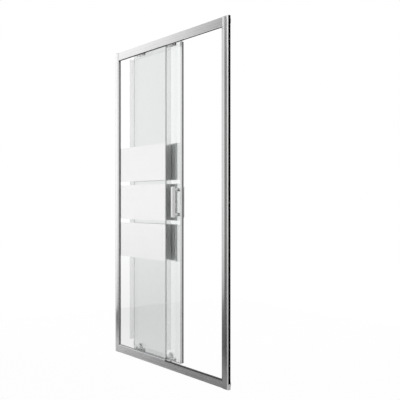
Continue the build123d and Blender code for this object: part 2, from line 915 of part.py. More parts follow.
def roller(x, z):
    """Grooved roller, turned about a depth axis, with lightening holes."""
    half = wheel_width / 2
    land = wheel_land / 2
    bore = axle_radius + bore_clearance
    hub = bore + wheel_hub_wall
    rim = wheel_groove_radius - wheel_rim_wall
    points = [(bore, -half), (hub, -half), (hub, -half + wheel_web_cut), (rim, -half + wheel_web_cut),
              (rim, -half), (wheel_radius - wheel_chamfer, -half), (wheel_radius, -half + wheel_chamfer),
              (wheel_radius, -land - wheel_flank), (wheel_groove_radius, -land)]
    points += [(r, -y) for r, y in reversed(points)]
    shape = turned(points, x, roller_y, z)
    ring = (hub + rim) / 2
    holes = Pos(x, roller_y, z) * Rot(90, 0, 0)
    for spot in PolarLocations(ring, wheel_hole_count):
        shape -= holes * spot * Cylinder(wheel_hole_radius, wheel_width)
    return shape


def pad(middle, half, z0, z1, y0):
    """Soft pad between a clamp and the glass."""
    return slab(middle - half, middle + half, y0, y0 + pad_thickness, z0, z1)


def clamp_pads():
    """All the pads of the hangers and the bottom carriages."""
    pads = []
    for middle in hanger_centres:
        for y0 in (sliding_front - pad_thickness, sliding_back):
            top = (middle, clamp_half, hanger_bottom, hanger_bottom + clamp_height, y0)
            low = (middle, clamp_half, carriage_bottom, carriage_bottom + carriage_height, y0)
            for place, offset, height in ((top, bolt_offset, hanger_bolt_height()),
                                          (low, carriage_bolt_offset, carriage_bolt_height())):
                shape = pad(*place)
                for side in (-1, 1):
                    shape -= rod_y(middle + side * offset, y0 - cut_past, y0 + pad_thickness + cut_past,
                                   height, bolt_radius + bore_clearance)
                pads.append(shape)
    return pads


def rear_clamp(middle, z0, height, offset, bolt_z):
    """Clamp plate behind the glass."""
    y0 = sliding_back + pad_thickness
    section = wall(middle - clamp_half, middle + clamp_half, z0, z0 + height)
    corners = [(middle + side * clamp_half, z) for side in (-1, 1) for z in (z0, z0 + height)]
    shape = along_y(rounded_at(section, corners, clamp_round), y0, y0 + clamp_thickness)
    for side in (-1, 1):
        shape -= rod_y(middle + side * offset, y0 - cut_past, y0 + clamp_thickness + cut_past, bolt_z,
                       bolt_radius + bore_clearance)
    return shape


def top_clamps():
    """Rear clamp plates of the two hangers."""
    return [rear_clamp(middle, hanger_bottom, clamp_height, bolt_offset, hanger_bolt_height())
            for middle in hanger_centres]


def bottom_clamps():
    """Rear clamp plates of the two bottom carriages."""
    return [rear_clamp(middle, carriage_bottom, carriage_height, carriage_bolt_offset, carriage_bolt_height())
            for middle in hanger_centres]


def clamp_bolts():
    """Bolts from the back through every clamp."""
    head = sliding_back + pad_thickness + clamp_thickness
    tip = hanger_back() - hanger_thickness
    bolts = []
    for middle in hanger_centres:
        for side in (-1, 1):
            for x, z in ((middle + side * bolt_offset, hanger_bolt_height()),
                         (middle + side * carriage_bolt_offset, carriage_bolt_height())):
                bolt = rod_y(x, tip, head, z, bolt_radius)
                bolt += rod_y(x, head, head + bolt_head, z, bolt_head_radius)
                socket = Pos(x, head + bolt_head, z) * Rot(90, 0, 0)
                bolt -= socket * extrude(RegularPolygon(bolt_socket, 6), bolt_head * bolt_socket_share,
                                         both=True)
                bolts.append(bolt)
    return bolts


def header_stops():
    """Rubber blocks on the roller lip at both ends of the door's travel."""
    closed = hanger_centres[1] + hanger_half + buffer_thickness + door_travel + strike_clearance
    opened = hanger_centres[0] - hanger_half - buffer_thickness - strike_clearance
    stops = []
    for x0, x1 in ((opened - stop_length, opened), (closed, closed + stop_length)):
        block = slab(x0, x1, web_back, web_back + lip_width, lip_top, lip_top + stop_height)
        block += slab(x0, x1, web_back, hanger_back() - stop_gap, top_bead, lip_top + stop_height)
        groove = bead_width / 2
        block -= slab(x0 - cut_past, x1 + cut_past, roller_y - groove, roller_y + groove, lip_top - cut_past,
                      top_bead)
        stops.append(block)
    return stops


# Quick release rollers

def bottom_carriage(middle):
    """Housing of a quick release roller, clamped in front of the glass."""
    back = hanger_back()
    z1 = carriage_bottom + carriage_height
    near = back - carriage_depth
    foot = slab(middle - carriage_half, middle + carriage_half, near, back, carriage_bottom, z1)
    foot = fillet(foot.edges().filter_by(Axis.Z).group_by(Axis.Y)[0], hanger_round)
    foot = fillet(foot.faces().sort_by(Axis.Y)[0].edges().filter_by(Axis.X), edge_radius)
    tower = slab(middle - tower_half, middle + tower_half, near, back, carriage_bottom, tower_top)
    tower = fillet(tower.edges().filter_by(Axis.Z).group_by(Axis.Y)[0], edge_radius)
    shape = foot + tower
    half = slider_half + slide_gap
    slider_y0, slider_y1 = slider_depths()
    shape -= slab(middle - half, middle + half, slider_y0 - slide_gap, slider_y1 + slide_gap,
                  carriage_bottom - cut_past, tower_top + cut_past)
    pocket = spring_radius + spring_wire + slide_gap
    shape -= slab(middle - pocket, middle + pocket, spring_y() - pocket, slider_y0,
                  carriage_bottom - cut_past, spring_roof)
    for side in (-1, 1):
        x = middle + side * carriage_bolt_offset
        shape -= rod_y(x, back - hanger_thickness, back + cut_past, carriage_bolt_height(),
                       bolt_radius + bore_clearance)
    return shape


def slider_depths():
    """Front and back of the sliding bar that holds a bottom roller."""
    y0 = roller_y + wheel_width / 2 + slider_set_back
    return y0, y0 + slider_thickness


def spring_y():
    """Depth of the spring's axis."""
    return slider_depths()[0] - slide_gap - spring_radius - spring_wire - spring_room


def carriage_covers():
    """Bright covers clipped over the towers of the housings."""
    y1 = hanger_back() - carriage_depth
    covers = []
    for middle in hanger_centres:
        z0 = carriage_bottom + carriage_height
        plate = slab(middle - tower_half, middle + tower_half, y1 - cover_thickness, y1, z0, tower_top)
        covers.append(fillet(plate.faces().sort_by(Axis.Y)[0].edges(), cover_round))
    return covers


def release_slider(middle):
    """Sprung bar with the pull knob on top and the roller's spigot at its foot."""
    y0, y1 = slider_depths()
    low = bottom_axis - slider_foot
    bar = slab(middle - slider_half, middle + slider_half, y0, y1, low, tower_top + knob_gap)
    bar = fillet(bar.edges().filter_by(Axis.Y).group_by(Axis.Z)[0], slider_foot_round)
    base = tower_top + knob_gap
    knob = slab(middle - knob_half, middle + knob_half, y0 - knob_front, y1 + knob_back, base,
                base + knob_height)
    knob = fillet(knob.edges().filter_by(Axis.Z), knob_corner)
    knob = fillet(knob.faces().sort_by(Axis.Z)[-1].edges(), knob_edge)
    half = spring_radius + spring_wire / 2
    tab = slab(middle - half, middle + half, spring_y() - half, y0 + cut_past,
               spring_tab_top - spring_tab_thickness, spring_tab_top)
    neck = roller_y - wheel_width / 2 - slide_gap
    spigot = rod_y(middle, neck - axle_head, y0 + cut_past, bottom_axis, axle_radius)
    spigot += rod_y(middle, neck - axle_head, neck, bottom_axis, axle_radius + spigot_lip)
    return bar + knob + tab + spigot


def release_spring(middle):
    """Compression spring between the housing's roof and the slider's tab."""
    low = spring_tab_top + slide_gap + spring_wire / 2
    high = spring_roof - slide_gap - spring_wire / 2
    line = Helix((high - low) / spring_turns, high - low, spring_radius)
    line = Pos(middle, spring_y(), low) * line
    start = Plane(line @ 0, z_dir=line % 0)
    return sweep(start * Circle(spring_wire / 2), path=line)


# Strike side

def strike_profile():
    """Hollow profile that the door closes against, with a flange screwed behind the stile."""
    y0 = strike_front + strike_flange
    y1 = y0 + strike_depth
    right = strike_left + strike_width
    section = wall(strike_left, right, y0, y1)
    section -= wall(strike_left + strike_magnet_thickness + strike_skin, right - strike_skin,
                    y0 + strike_skin, y1 - strike_skin)
    section += wall(strike_left, stile_inner + strike_flange_cover, strike_front, y0)
    middle = sliding_front + glass_thickness / 2
    half = leading_depth / 2 - strike_magnet_inset
    section -= wall(strike_left - cut_past, strike_left + strike_magnet_thickness,
                    middle - half, middle + half)
    shape = along_z(section, *strike_heights())
    for height in adjuster_heights():
        shape -= rod_y(strike_screw_x(), strike_front - cut_past, y0 + cut_past, height + strike_screw_shift,
                       screw_radius + hole_clearance)
    return shape


def strike_heights():
    """Bottom and top of the strike, clear of the rail's rear wall and the roller lip."""
    return rail_rear_height + strike_end_gap, lip_bottom - strike_end_gap


def strike_screw_x():
    """Distance of the strike's screws from the middle of the door."""
    return stile_inner + strike_screw_inset


def strike_magnet():
    """Magnet strip in the face of the strike."""
    middle = sliding_front + glass_thickness / 2
    half = leading_depth / 2 - strike_magnet_inset
    z0, z1 = strike_heights()
    return slab(strike_left, strike_left + strike_magnet_thickness, middle - half, middle + half, z0, z1)


def strike_screws():
    """Screws that hold the strike's flange to the stile."""
    head = strike_front + strike_flange
    screws = []
    for height in adjuster_heights():
        z = height + strike_screw_shift
        screw = rod_y(strike_screw_x(), head - adjuster_length, head, z, screw_radius)
        screw += rod_y(strike_screw_x(), head, head + screw_head, z, screw_head_radius)
        screws.append(screw)
    return screws


def right_stile():
    """The right stile, drilled for the strike's screws as well."""
    shape = stile()
    for height in adjuster_heights():
        z = height + strike_screw_shift
        shape -= rod_y(strike_screw_x(), strike_front - stile_lip - cut_past, strike_front + cut_past, z,
                       screw_radius + bore_clearance)
    return shape


def build_frame():
    """Write the pieces that stay still."""
    save("header_track", header_track())
    save("bottom_rail", bottom_rail())
    save("right_stile", right_stile())
    save("left_stile", mirrored(stile()))
    save("right_wall_channel", wall_channel())
    save("left_wall_channel", mirrored(wall_channel()))
    save("wall_seals", wall_seal(), mirrored(wall_seal()))
    save("foot_plugs", foot_plug(), mirrored(foot_plug()))
    save("stile_caps", stile_cap(), mirrored(stile_cap()))
    save("frame_screws", *frame_screws())
    save("adjusting_screws", *adjusting_screws())
    save("screw_caps", *screw_caps())
    save("fixed_glass", fixed_glass())
    save("side_gaskets", *side_gaskets())
    save("head_gaskets", *head_gaskets())
    save("sill_gaskets", *sill_gaskets())
    save("setting_blocks", *setting_blocks())
    save("glazing_bead", glazing_bead())
    save("rail_infill", rail_infill())
    save("stile_infill", stile_infill())
    save("overlap_seal", overlap_seal())
    save("strike_profile", strike_profile())
    save("strike_magnet", strike_magnet())
    save("strike_screws", *strike_screws())
    save("header_stops", *header_stops())


def build_door():
    """Write the pieces that slide with the moving pane."""
    save("sliding_glass", sliding_glass())
    save("leading_edge_profile", leading_edge_profile())
    save("leading_magnet_seal", leading_magnet_seal())
    save("trailing_edge_seal", trailing_edge_seal())
    save("bottom_wiper", bottom_wiper())
    save("front_handle", handle(-1))
    save("rear_handle", handle(1))
    save("handle_studs", *handle_studs())
    save("handle_bushes", *handle_bushes())
    save("hanger_axles", *hanger_axles())
    save("hanger_buffers", *hanger_buffers())
    save("top_clamps", *top_clamps())
    save("bottom_clamps", *bottom_clamps())
    save("clamp_pads", *clamp_pads())
    save("clamp_bolts", *clamp_bolts())
    save("carriage_covers", *carriage_covers())
    for name, middle in zip(("left", "right"), hanger_centres):
        save("top_hanger_" + name, hanger(middle))
        save("bottom_carriage_" + name, bottom_carriage(middle))
        save("release_slider_" + name, release_slider(middle))
        save("release_spring_" + name, release_spring(middle))
        save("bottom_roller_" + name, roller(middle, bottom_axis))
        for side, place in zip((-1, 1), ("a", "b")):
            save("top_roller_" + name + "_" + place, roller(middle + side * wheel_offset, top_axis))


os.makedirs("parts", exist_ok=True)
build_frame()
save_bands()
build_door()
spring_length = spring_roof - spring_tab_top - 2 * slide_gap - spring_wire
print("gap between spring turns:", round(spring_length / spring_turns - spring_wire, 2), "mm")
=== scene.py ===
"""Sliding shower door: finishes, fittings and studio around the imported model."""
import json
import logging
import math
from dataclasses import dataclass, field
from enum import Enum
from typing import Callable

import bpy
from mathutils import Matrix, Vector


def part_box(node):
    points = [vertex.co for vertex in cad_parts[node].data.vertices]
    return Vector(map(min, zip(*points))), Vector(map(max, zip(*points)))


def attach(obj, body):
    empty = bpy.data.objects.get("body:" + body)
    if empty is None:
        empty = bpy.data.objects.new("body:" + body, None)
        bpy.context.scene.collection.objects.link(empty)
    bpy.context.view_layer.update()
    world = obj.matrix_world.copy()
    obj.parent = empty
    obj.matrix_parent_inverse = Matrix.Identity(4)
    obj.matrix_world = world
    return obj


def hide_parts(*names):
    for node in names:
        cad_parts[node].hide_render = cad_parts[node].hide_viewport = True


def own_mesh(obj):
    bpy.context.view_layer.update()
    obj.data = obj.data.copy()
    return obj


LOG = logging.getLogger("shower_door")
MM = 0.001

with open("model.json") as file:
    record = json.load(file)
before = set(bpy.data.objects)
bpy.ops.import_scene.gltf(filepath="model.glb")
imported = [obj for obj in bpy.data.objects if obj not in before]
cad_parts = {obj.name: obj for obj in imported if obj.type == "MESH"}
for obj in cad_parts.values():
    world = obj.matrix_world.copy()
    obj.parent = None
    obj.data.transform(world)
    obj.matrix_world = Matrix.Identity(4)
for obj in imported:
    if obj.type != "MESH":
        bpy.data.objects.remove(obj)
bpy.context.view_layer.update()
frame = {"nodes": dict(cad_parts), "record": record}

RGB = tuple[float, float, float]
Point = tuple[float, float, float]
Stops = tuple[tuple[float, float], ...]

ORIGIN = (0.0, 0.0, 0.0)
MERGE_DISTANCE = 0.001 * MM

# Part of a face's normal that lies along an axis, above which the face looks along it
SQUARE_ON = 0.9
BROAD_FACE = 0.7

# Steps of a ring, sides of a screw, and the gap in millimetres under a fitting
RING_STEPS = 48
SCREW_SIDES = 24
SEAT_GAP = 0.05

# Rim and depth of a screw's socket, as shares of its radius and height
SOCKET_RIM = 0.45
SOCKET_DEPTH = 0.6

# Sockets of the Mix node, whose names repeat for each kind of value
NUMBER_A, NUMBER_B, NUMBER_RESULT = 2, 3, 0
COLOUR_A, COLOUR_B, COLOUR_RESULT = 6, 7, 2

# The picture, and the camera's sensor in millimetres
IMAGE_SIZE = 400
SENSOR_WIDTH = 36.0

# Level of the world for plain light, and how much the floor glows to the camera and through glass
FILL_LEVEL = 0.8
FLOOR_GLOW = 0.985
FLOOR_THROUGH_GLASS = 0.88

# Light that has crossed more faces than one pane has, and no mirror, keeps this level
ONE_PANE_FACES = 3.0
NO_BOUNCE = 0.5
SECOND_PANE_LEVEL = 0.81


class Grain(Enum):
    """Direction in which a profile was drawn, which its fine lines follow."""

    ACROSS = "x"
    UP = "z"
    NONE = "none"


def vec(x: float, y: float, z: float) -> Vector:
    """Return a point given in millimetres, in metres."""
    return Vector((x * MM, y * MM, z * MM))


def deselect() -> None:
    """Leave nothing selected."""
    bpy.ops.object.select_all(action="DESELECT")


def make_active(obj: bpy.types.Object) -> None:
    """Select one object alone and make it the active one.

    Args:
        obj: The object.
    """
    deselect()
    obj.select_set(True)
    bpy.context.view_layer.objects.active = obj


def select_faces(obj: bpy.types.Object, wanted: Callable[[bpy.types.MeshPolygon], bool]) -> None:
    """Select the faces that a test accepts, and nothing else of the mesh.

    Args:
        obj: The object, in object mode.
        wanted: The test of one face.
    """
    make_active(obj)
    bpy.ops.object.mode_set(mode="EDIT")
    bpy.ops.mesh.select_mode(type="FACE")
    bpy.ops.mesh.select_all(action="DESELECT")
    bpy.ops.object.mode_set(mode="OBJECT")
    for face in obj.data.polygons:
        face.select = wanted(face)


def copied(source: bpy.types.Object, name: str) -> bpy.types.Object:
    """Copy an object with a mesh of its own and make the copy active.

    Args:
        source: The object to copy.
        name: The copy's name.

    Returns:
        The copy.
    """
    obj = bpy.data.objects.new(name, source.data.copy())
    obj.data.name = name
    bpy.context.scene.collection.objects.link(obj)
    make_active(obj)
    return obj


def copied_node(node: str, name: str) -> bpy.types.Object:
    """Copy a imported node's mesh into a new piece and merge its loose corners.

    Args:
        node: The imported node.
        name: The new piece's name.

    Returns:
        The new object.
    """
    obj = copied(frame["nodes"][node], name)
    bpy.ops.object.mode_set(mode="EDIT")
    bpy.ops.mesh.select_all(action="SELECT")
    bpy.ops.mesh.remove_doubles(threshold=MERGE_DISTANCE)
    bpy.ops.object.mode_set(mode="OBJECT")
    return obj


class Shader:
    """A node tree under construction, with short ways to add and join nodes."""

    def __init__(self, tree: bpy.types.NodeTree) -> None:
        """Empty the tree and keep it.

        Args:
            tree: The material's or the world's node tree.
        """
        self.tree = tree
        tree.nodes.clear()

    def add(self, kind: str, **settings: object) -> bpy.types.Node:
        """Add a node.

        Args:
            kind: The node's type name, without its ShaderNode prefix.
            settings: Properties of the node, such as operation.

        Returns:
            The new node.
        """
        node = self.tree.nodes.new("ShaderNode" + kind)
        for name, value in settings.items():
            setattr(node, name, value)
        return node

    def join(self, source: object, target: object) -> None:
        """Feed a socket from another socket, or set it to a plain value.

        Args:
            source: A socket, a number or a colour.
            target: The input socket.
        """
        if isinstance(source, bpy.types.NodeSocket):
            self.tree.links.new(source, target)
        else:
            target.default_value = source

    def math(self, operation: str, *values: object) -> bpy.types.NodeSocket:
        """Add a maths node.

        Args:
            operation: The node's operation.
            values: Sockets or numbers for its inputs.

        Returns:
            The result's socket.
        """
        node = self.add("Math", operation=operation)
        for value, target in zip(values, node.inputs):
            self.join(value, target)
        return node.outputs[0]

    def mapped(self, scale: Point) -> bpy.types.NodeSocket:
        """Stretch Object coordinates.

        Args:
            scale: Cycles per metre along each axis.

        Returns:
            The stretched coordinates' socket.
        """
        coordinates = self.add("TexCoord")
        mapping = self.add("Mapping")
        mapping.inputs["Scale"].default_value = scale
        self.join(coordinates.outputs["Object"], mapping.inputs["Vector"])
        return mapping.outputs["Vector"]

    def noise(self, scale: Point, detail: float = 3.0, roughness: float = 0.5) -> bpy.types.NodeSocket:
        """Add noise on Object coordinates.

        Args:
            scale: Cycles per metre along each axis.
            detail: How many finer layers the noise has.
            roughness: How strong the finer layers are.

        Returns:
            The noise's value socket.
        """
        node = self.add("TexNoise")
        node.inputs["Scale"].default_value = 1.0
        node.inputs["Detail"].default_value = detail
        node.inputs["Roughness"].default_value = roughness
        self.join(self.mapped(scale), node.inputs["Vector"])
        return node.outputs["Fac"]

    def around(self, value: object, middle: float, spread: float) -> bpy.types.NodeSocket:
        """Bring a 0 to 1 value into a range about a middle.

        Args:
            value: The socket to bring in.
            middle: Result at a half.
            spread: How far the result goes either way.

        Returns:
            The result's socket.
        """
        node = self.add("MapRange")
        self.join(value, node.inputs["Value"])
        node.inputs["To Min"].default_value = middle - spread
        node.inputs["To Max"].default_value = middle + spread
        return node.outputs["Result"]

    def choose(self, factor: object, first: object, second: object) -> bpy.types.NodeSocket:
        """Mix two numbers.

        Args:
            factor: Share of the second number.
            first: Number at 0.
            second: Number at 1.

        Returns:
            The mixed number's socket.
        """
        node = self.add("Mix", data_type="FLOAT")
        self.join(factor, node.inputs["Factor"])
        self.join(first, node.inputs[NUMBER_A])
        self.join(second, node.inputs[NUMBER_B])
        return node.outputs[NUMBER_RESULT]

    def ramp(self, value: object, stops: Stops) -> bpy.types.NodeSocket:
        """Turn a 0 to 1 value into a grey level through straight runs between stops.

        Args:
            value: The socket to look up.
            stops: Places and their grey levels, in order.

        Returns:
            The level's socket.
        """
        node = self.add("ValToRGB")
        elements = node.color_ramp.elements
        for element, (place, level) in zip(elements, (stops[0], stops[-1])):
            element.position = place
            element.color = (level, level, level, 1.0)
        for place, level in stops[1:-1]:
            elements.new(place).color = (level, level, level, 1.0)
        self.join(value, node.inputs["Fac"])
        return node.outputs["Color"]

    def blend(self, factor: object, first: RGB, second: RGB) -> bpy.types.NodeSocket:
        """Blend two colours.

        Args:
            factor: Share of the second colour.
            first: Colour at 0.
            second: Colour at 1.

        Returns:
            The blended colour's socket.
        """
        node = self.add("Mix", data_type="RGBA")
        self.join(factor, node.inputs["Factor"])
        node.inputs[COLOUR_A].default_value = (*first, 1.0)
        node.inputs[COLOUR_B].default_value = (*second, 1.0)
        return node.outputs[COLOUR_RESULT]

    def bump(self, height: object, distance: float) -> bpy.types.NodeSocket:
        """Add a bump.

        Args:
            height: The height's socket.
            distance: Height in metres that a value of 1 stands for.

        Returns:
            The bent normal's socket.
        """
        node = self.add("Bump")
        node.inputs["Distance"].default_value = distance
        node.inputs["Strength"].default_value = 1.0
        self.join(height, node.inputs["Height"])
        return node.outputs["Normal"]


def scratch_scale(grain: Grain, fine: float, long: float) -> Point:
    """Stretch a noise along the way a profile was drawn.

    Args:
        grain: The drawing direction.
        fine: Cycles per metre across the lines.
        long: Cycles per metre along them.

    Returns:
        The scale for each axis.
    """
    if grain is Grain.ACROSS:
        return (long, fine, fine)
    if grain is Grain.UP:
        return (fine, fine, long)
    return (fine, fine, fine)


def started_material(name: str) -> tuple[bpy.types.Material, Shader, bpy.types.Node]:
    """Start a node material whose output shows one Principled surface.

    Args:
        name: The material's name.

    Returns:
        The material, its shader and the surface node.
    """
    material = bpy.data.materials.new(name)
    material.use_nodes = True
    shader = Shader(material.node_tree)
    surface = shader.add("BsdfPrincipled")
    output = shader.add("OutputMaterial")
    shader.join(surface.outputs[0], output.inputs["Surface"])
    return material, shader, surface


@dataclass(frozen=True)
class Metal:
    """A metal with drawing lines, slight colour clouds and fine wear.

    Attributes:
        name: Material name.
        colour: Light colour of the metal.
        shade: Darker colour in its clouds.
        roughness: Middle roughness.
        spread: How far the roughness varies either way.
        grain: Direction of its lines.
        line_depth: Depth of the lines in metres.
        bareness: 1 for bare metal, less to mix in a matt white share, which on the lighter copies below is
            painted light.
        lines_across: Cycles per metre across the lines.
        lines_along: Cycles per metre along them.
        line_share: Share of the roughness that follows the lines, the rest following the clouds.
        cloud: Cycles per metre of the clouds.
    """

    name: str
    colour: RGB
    shade: RGB
    roughness: float
    spread: float = 0.05
    grain: Grain = Grain.NONE
    line_depth: float = 0.00001
    bareness: float = 1.0
    lines_across: float = 2600.0
    lines_along: float = 6.0
    line_share: float = 0.6
    cloud: float = 7.0

    def make(self) -> bpy.types.Material:
        """Build the node material.

        Returns:
            The material.
        """
        material, shader, surface = started_material(self.name)
        surface.inputs["Metallic"].default_value = self.bareness
        lines = shader.noise(scratch_scale(self.grain, self.lines_across, self.lines_along), detail=2.0)
        clouds = shader.noise(scratch_scale(Grain.NONE, self.cloud, self.cloud), detail=4.0)
        shader.join(shader.blend(clouds, self.shade, self.colour), surface.inputs["Base Color"])
        cloud_part = shader.math("MULTIPLY", clouds, 1.0 - self.line_share)
        mixed = shader.math("MULTIPLY_ADD", lines, self.line_share, cloud_part)
        shader.join(shader.around(mixed, self.roughness, self.spread), surface.inputs["Roughness"])
        shader.join(shader.bump(lines, self.line_depth), surface.inputs["Normal"])
        return material


@dataclass(frozen=True)
class Moulded:
    """A moulded plastic or rubber with a fine skin.

    Attributes:
        name: Material name.
        colour: Main colour.
        worn: Lighter colour in its clouds.
        roughness: Middle roughness.
        skin: Cycles per metre of its skin.
        skin_depth: Depth of the skin in metres.
        grain: Direction of extrusion lines, if any.
        gloss: Level of its gloss.
        stretch: How many times longer than wide its extrusion lines are.
        spread: How far the roughness varies either way.
        cloud: Cycles per metre of the clouds.
    """

    name: str
    colour: RGB
    worn: RGB
    roughness: float
    skin: float = 1800.0
    skin_depth: float = 0.00002
    grain: Grain = Grain.NONE
    gloss: float = 0.5
    stretch: float = 60.0
    spread: float = 0.08
    cloud: float = 40.0

    def make(self) -> bpy.types.Material:
        """Build the node material.

        Returns:
            The material.
        """
        material, shader, surface = started_material(self.name)
        surface.inputs["Specular IOR Level"].default_value = self.gloss
        pores = shader.noise(scratch_scale(self.grain, self.skin, self.skin / self.stretch), detail=2.0)
        clouds = shader.noise(scratch_scale(Grain.NONE, self.cloud, self.cloud), detail=3.0)
        shader.join(shader.blend(clouds, self.colour, self.worn), surface.inputs["Base Color"])
        shader.join(shader.around(pores, self.roughness, self.spread), surface.inputs["Roughness"])
        shader.join(shader.bump(pores, self.skin_depth), surface.inputs["Normal"])
        return material


@dataclass(frozen=True)
class Clear:
    """A clear sheet with gloss by angle, a tint and ground edges.

    Attributes:
        name: Material name.
        tint: Colour that light takes on through the faces.
        edge_tint: Colour seen in the narrow edges.
        edge_axis: Axis square to the broad faces, 0, 1 or 2.
        roughness: Roughness of the gloss.
        ground: Roughness of the ground edges.
        ground_spread: How far that varies either way.
        bending: Index of refraction.
        film: Cycles per metre of the thin film on the faces, along each axis.
    """

    name: str
    tint: RGB
    edge_tint: RGB
    edge_axis: int = 1
    roughness: float = 0.02
    ground: float = 0.45
    ground_spread: float = 0.05
    bending: float = 1.45
    film: Point = (9.0, 9.0, 3.0)

    def make(self) -> bpy.types.Material:
        """Build the node material.

        Returns:
            The material.
        """
        material, shader, surface = started_material(self.name)
        surface.inputs["Transmission Weight"].default_value = 1.0
        surface.inputs["IOR"].default_value = self.bending
        geometry = shader.add("NewGeometry")
        parts = shader.add("SeparateXYZ")
        shader.join(geometry.outputs["True Normal"], parts.inputs[0])
        facing = shader.math("ABSOLUTE", parts.outputs[self.edge_axis])
        broad = shader.math("GREATER_THAN", facing, BROAD_FACE)
        shader.join(shader.blend(broad, self.edge_tint, self.tint), surface.inputs["Base Color"])
        film = shader.noise(self.film, detail=4.0, roughness=0.6)
        clean = shader.around(film, self.roughness, self.roughness / 2)
        ground = shader.around(film, self.ground, self.ground_spread)
        shader.join(shader.choose(broad, ground, clean), surface.inputs["Roughness"])
        return material


@dataclass(frozen=True)
class SoftClear:
    """Thin clear vinyl with a slightly milky skin.

    Attributes:
        name: Material name.
        skin: Colour of its skin.
        haze: Paler colour in its extrusion lines.
        cover: Share of the light that the skin stops.
        roughness: Middle roughness of its shine.
        spread: How far the roughness varies either way.
        line_depth: Depth of the lines in metres.
        lines_across: Cycles per metre across the lines.
        lines_along: Cycles per metre along them.
    """

    name: str
    skin: RGB
    haze: RGB
    cover: float
    roughness: float = 0.2
    spread: float = 0.06
    line_depth: float = 0.00004
    lines_across: float = 900.0
    lines_along: float = 8.0

    def make(self) -> bpy.types.Material:
        """Build the node material.

        Returns:
            The material.
        """
        material, shader, surface = started_material(self.name)
        surface.inputs["Alpha"].default_value = self.cover
        lines = shader.noise(scratch_scale(Grain.UP, self.lines_across, self.lines_along), detail=2.0)
        shader.join(shader.blend(lines, self.skin, self.haze), surface.inputs["Base Color"])
        shader.join(shader.around(lines, self.roughness, self.spread), surface.inputs["Roughness"])
        shader.join(shader.bump(lines, self.line_depth), surface.inputs["Normal"])
        return material


@dataclass(frozen=True)
class RubberWithPaintedLight:
    """An extruded rubber, dark behind the glass and painted lighter in front of it as painted light.

    Attributes:
        name: Material name.
        outer: Colour in front of the glass, lighter than the rubber as painted light.
        inner: Colour behind the glass.
        split: Depth in metres where one gives way to the other.
        roughness: Middle roughness.
        spread: How far the roughness varies either way.
        line_depth: Depth of the lines in metres.
        lines_across: Cycles per metre across the lines.
        lines_along: Cycles per metre along them.
    """

    name: str
    outer: RGB
    inner: RGB
    split: float
    roughness: float = 0.5
    spread: float = 0.1
    line_depth: float = 0.00002
    lines_across: float = 1800.0
    lines_along: float = 20.0

    def make(self) -> bpy.types.Material:
        """Build the node material.

        Returns:
            The material.
        """
        material, shader, surface = started_material(self.name)
        coordinates = shader.add("TexCoord")
        parts = shader.add("SeparateXYZ")
        shader.join(coordinates.outputs["Object"], parts.inputs[0])
        behind = shader.math("GREATER_THAN", parts.outputs[1], self.split)
        shader.join(shader.blend(behind, self.outer, self.inner), surface.inputs["Base Color"])
        lines = shader.noise(scratch_scale(Grain.UP, self.lines_across, self.lines_along), detail=2.0)
        shader.join(shader.around(lines, self.roughness, self.spread), surface.inputs["Roughness"])
        shader.join(shader.bump(lines, self.line_depth), surface.inputs["Normal"])
        return material


Finish = Metal | Moulded | Clear | SoftClear | RubberWithPaintedLight

SATIN = {"colour": (0.90, 0.895, 0.90), "shade": (0.85, 0.845, 0.85), "roughness": 0.17, "spread": 0.03}
MIRROR = {"roughness": 0.02, "spread": 0.01, "line_depth": 0.0}
PLATING_DEPTH = 0.000002

# Metals
SATIN_ACROSS = Metal("satin_aluminium_across", grain=Grain.ACROSS, **SATIN)
SATIN_UP = Metal("satin_aluminium_up", grain=Grain.UP, **SATIN)
# A near-white, half-matt copy of the aluminium for the leading profile and the wall channels: painted light.
PAINTED_LIGHT_ALUMINIUM_UP = Metal("aluminium_up_painted_light", (0.99, 0.99, 0.99), (0.97, 0.97, 0.97), 0.3, 0.05, Grain.UP,
                  bareness=0.4)
SILVERING = Metal("mirror_silver", (0.90, 0.885, 0.887), (0.89, 0.875, 0.877), **MIRROR)
# A whiter, partly matt copy of the silvering for the sliding pane's bands: painted light.
PAINTED_LIGHT_SILVERING = Metal("mirror_silver_painted_light", (1.0, 0.99, 0.99), (0.99, 0.98, 0.98), bareness=0.84, **MIRROR)
CHROME = Metal("chrome_plate", (0.90, 0.91, 0.92), (0.86, 0.87, 0.88), 0.09, 0.04, line_depth=PLATING_DEPTH)
# A white, mostly matt copy of the chrome for the handles and the carriage covers: painted light.
PAINTED_LIGHT_CHROME = Metal("chrome_painted_light", (1.0, 1.0, 1.0), (0.97, 0.97, 0.97), 0.24, 0.05, line_depth=PLATING_DEPTH,
                 bareness=0.35)
STEEL = Metal("zinc_steel", (0.78, 0.785, 0.79), (0.66, 0.67, 0.68), 0.34, 0.08)
# A paler copy of the steel for the hangers and the clamps, lightened against the shade they lie in: painted
# light.
PAINTED_LIGHT_STEEL = Metal("steel_painted_light", (0.95, 0.95, 0.95), (0.90, 0.90, 0.90), 0.38, 0.06)
BLACK_OXIDE = Metal("black_oxide_steel", (0.05, 0.05, 0.052), (0.03, 0.03, 0.032), 0.4, 0.06)

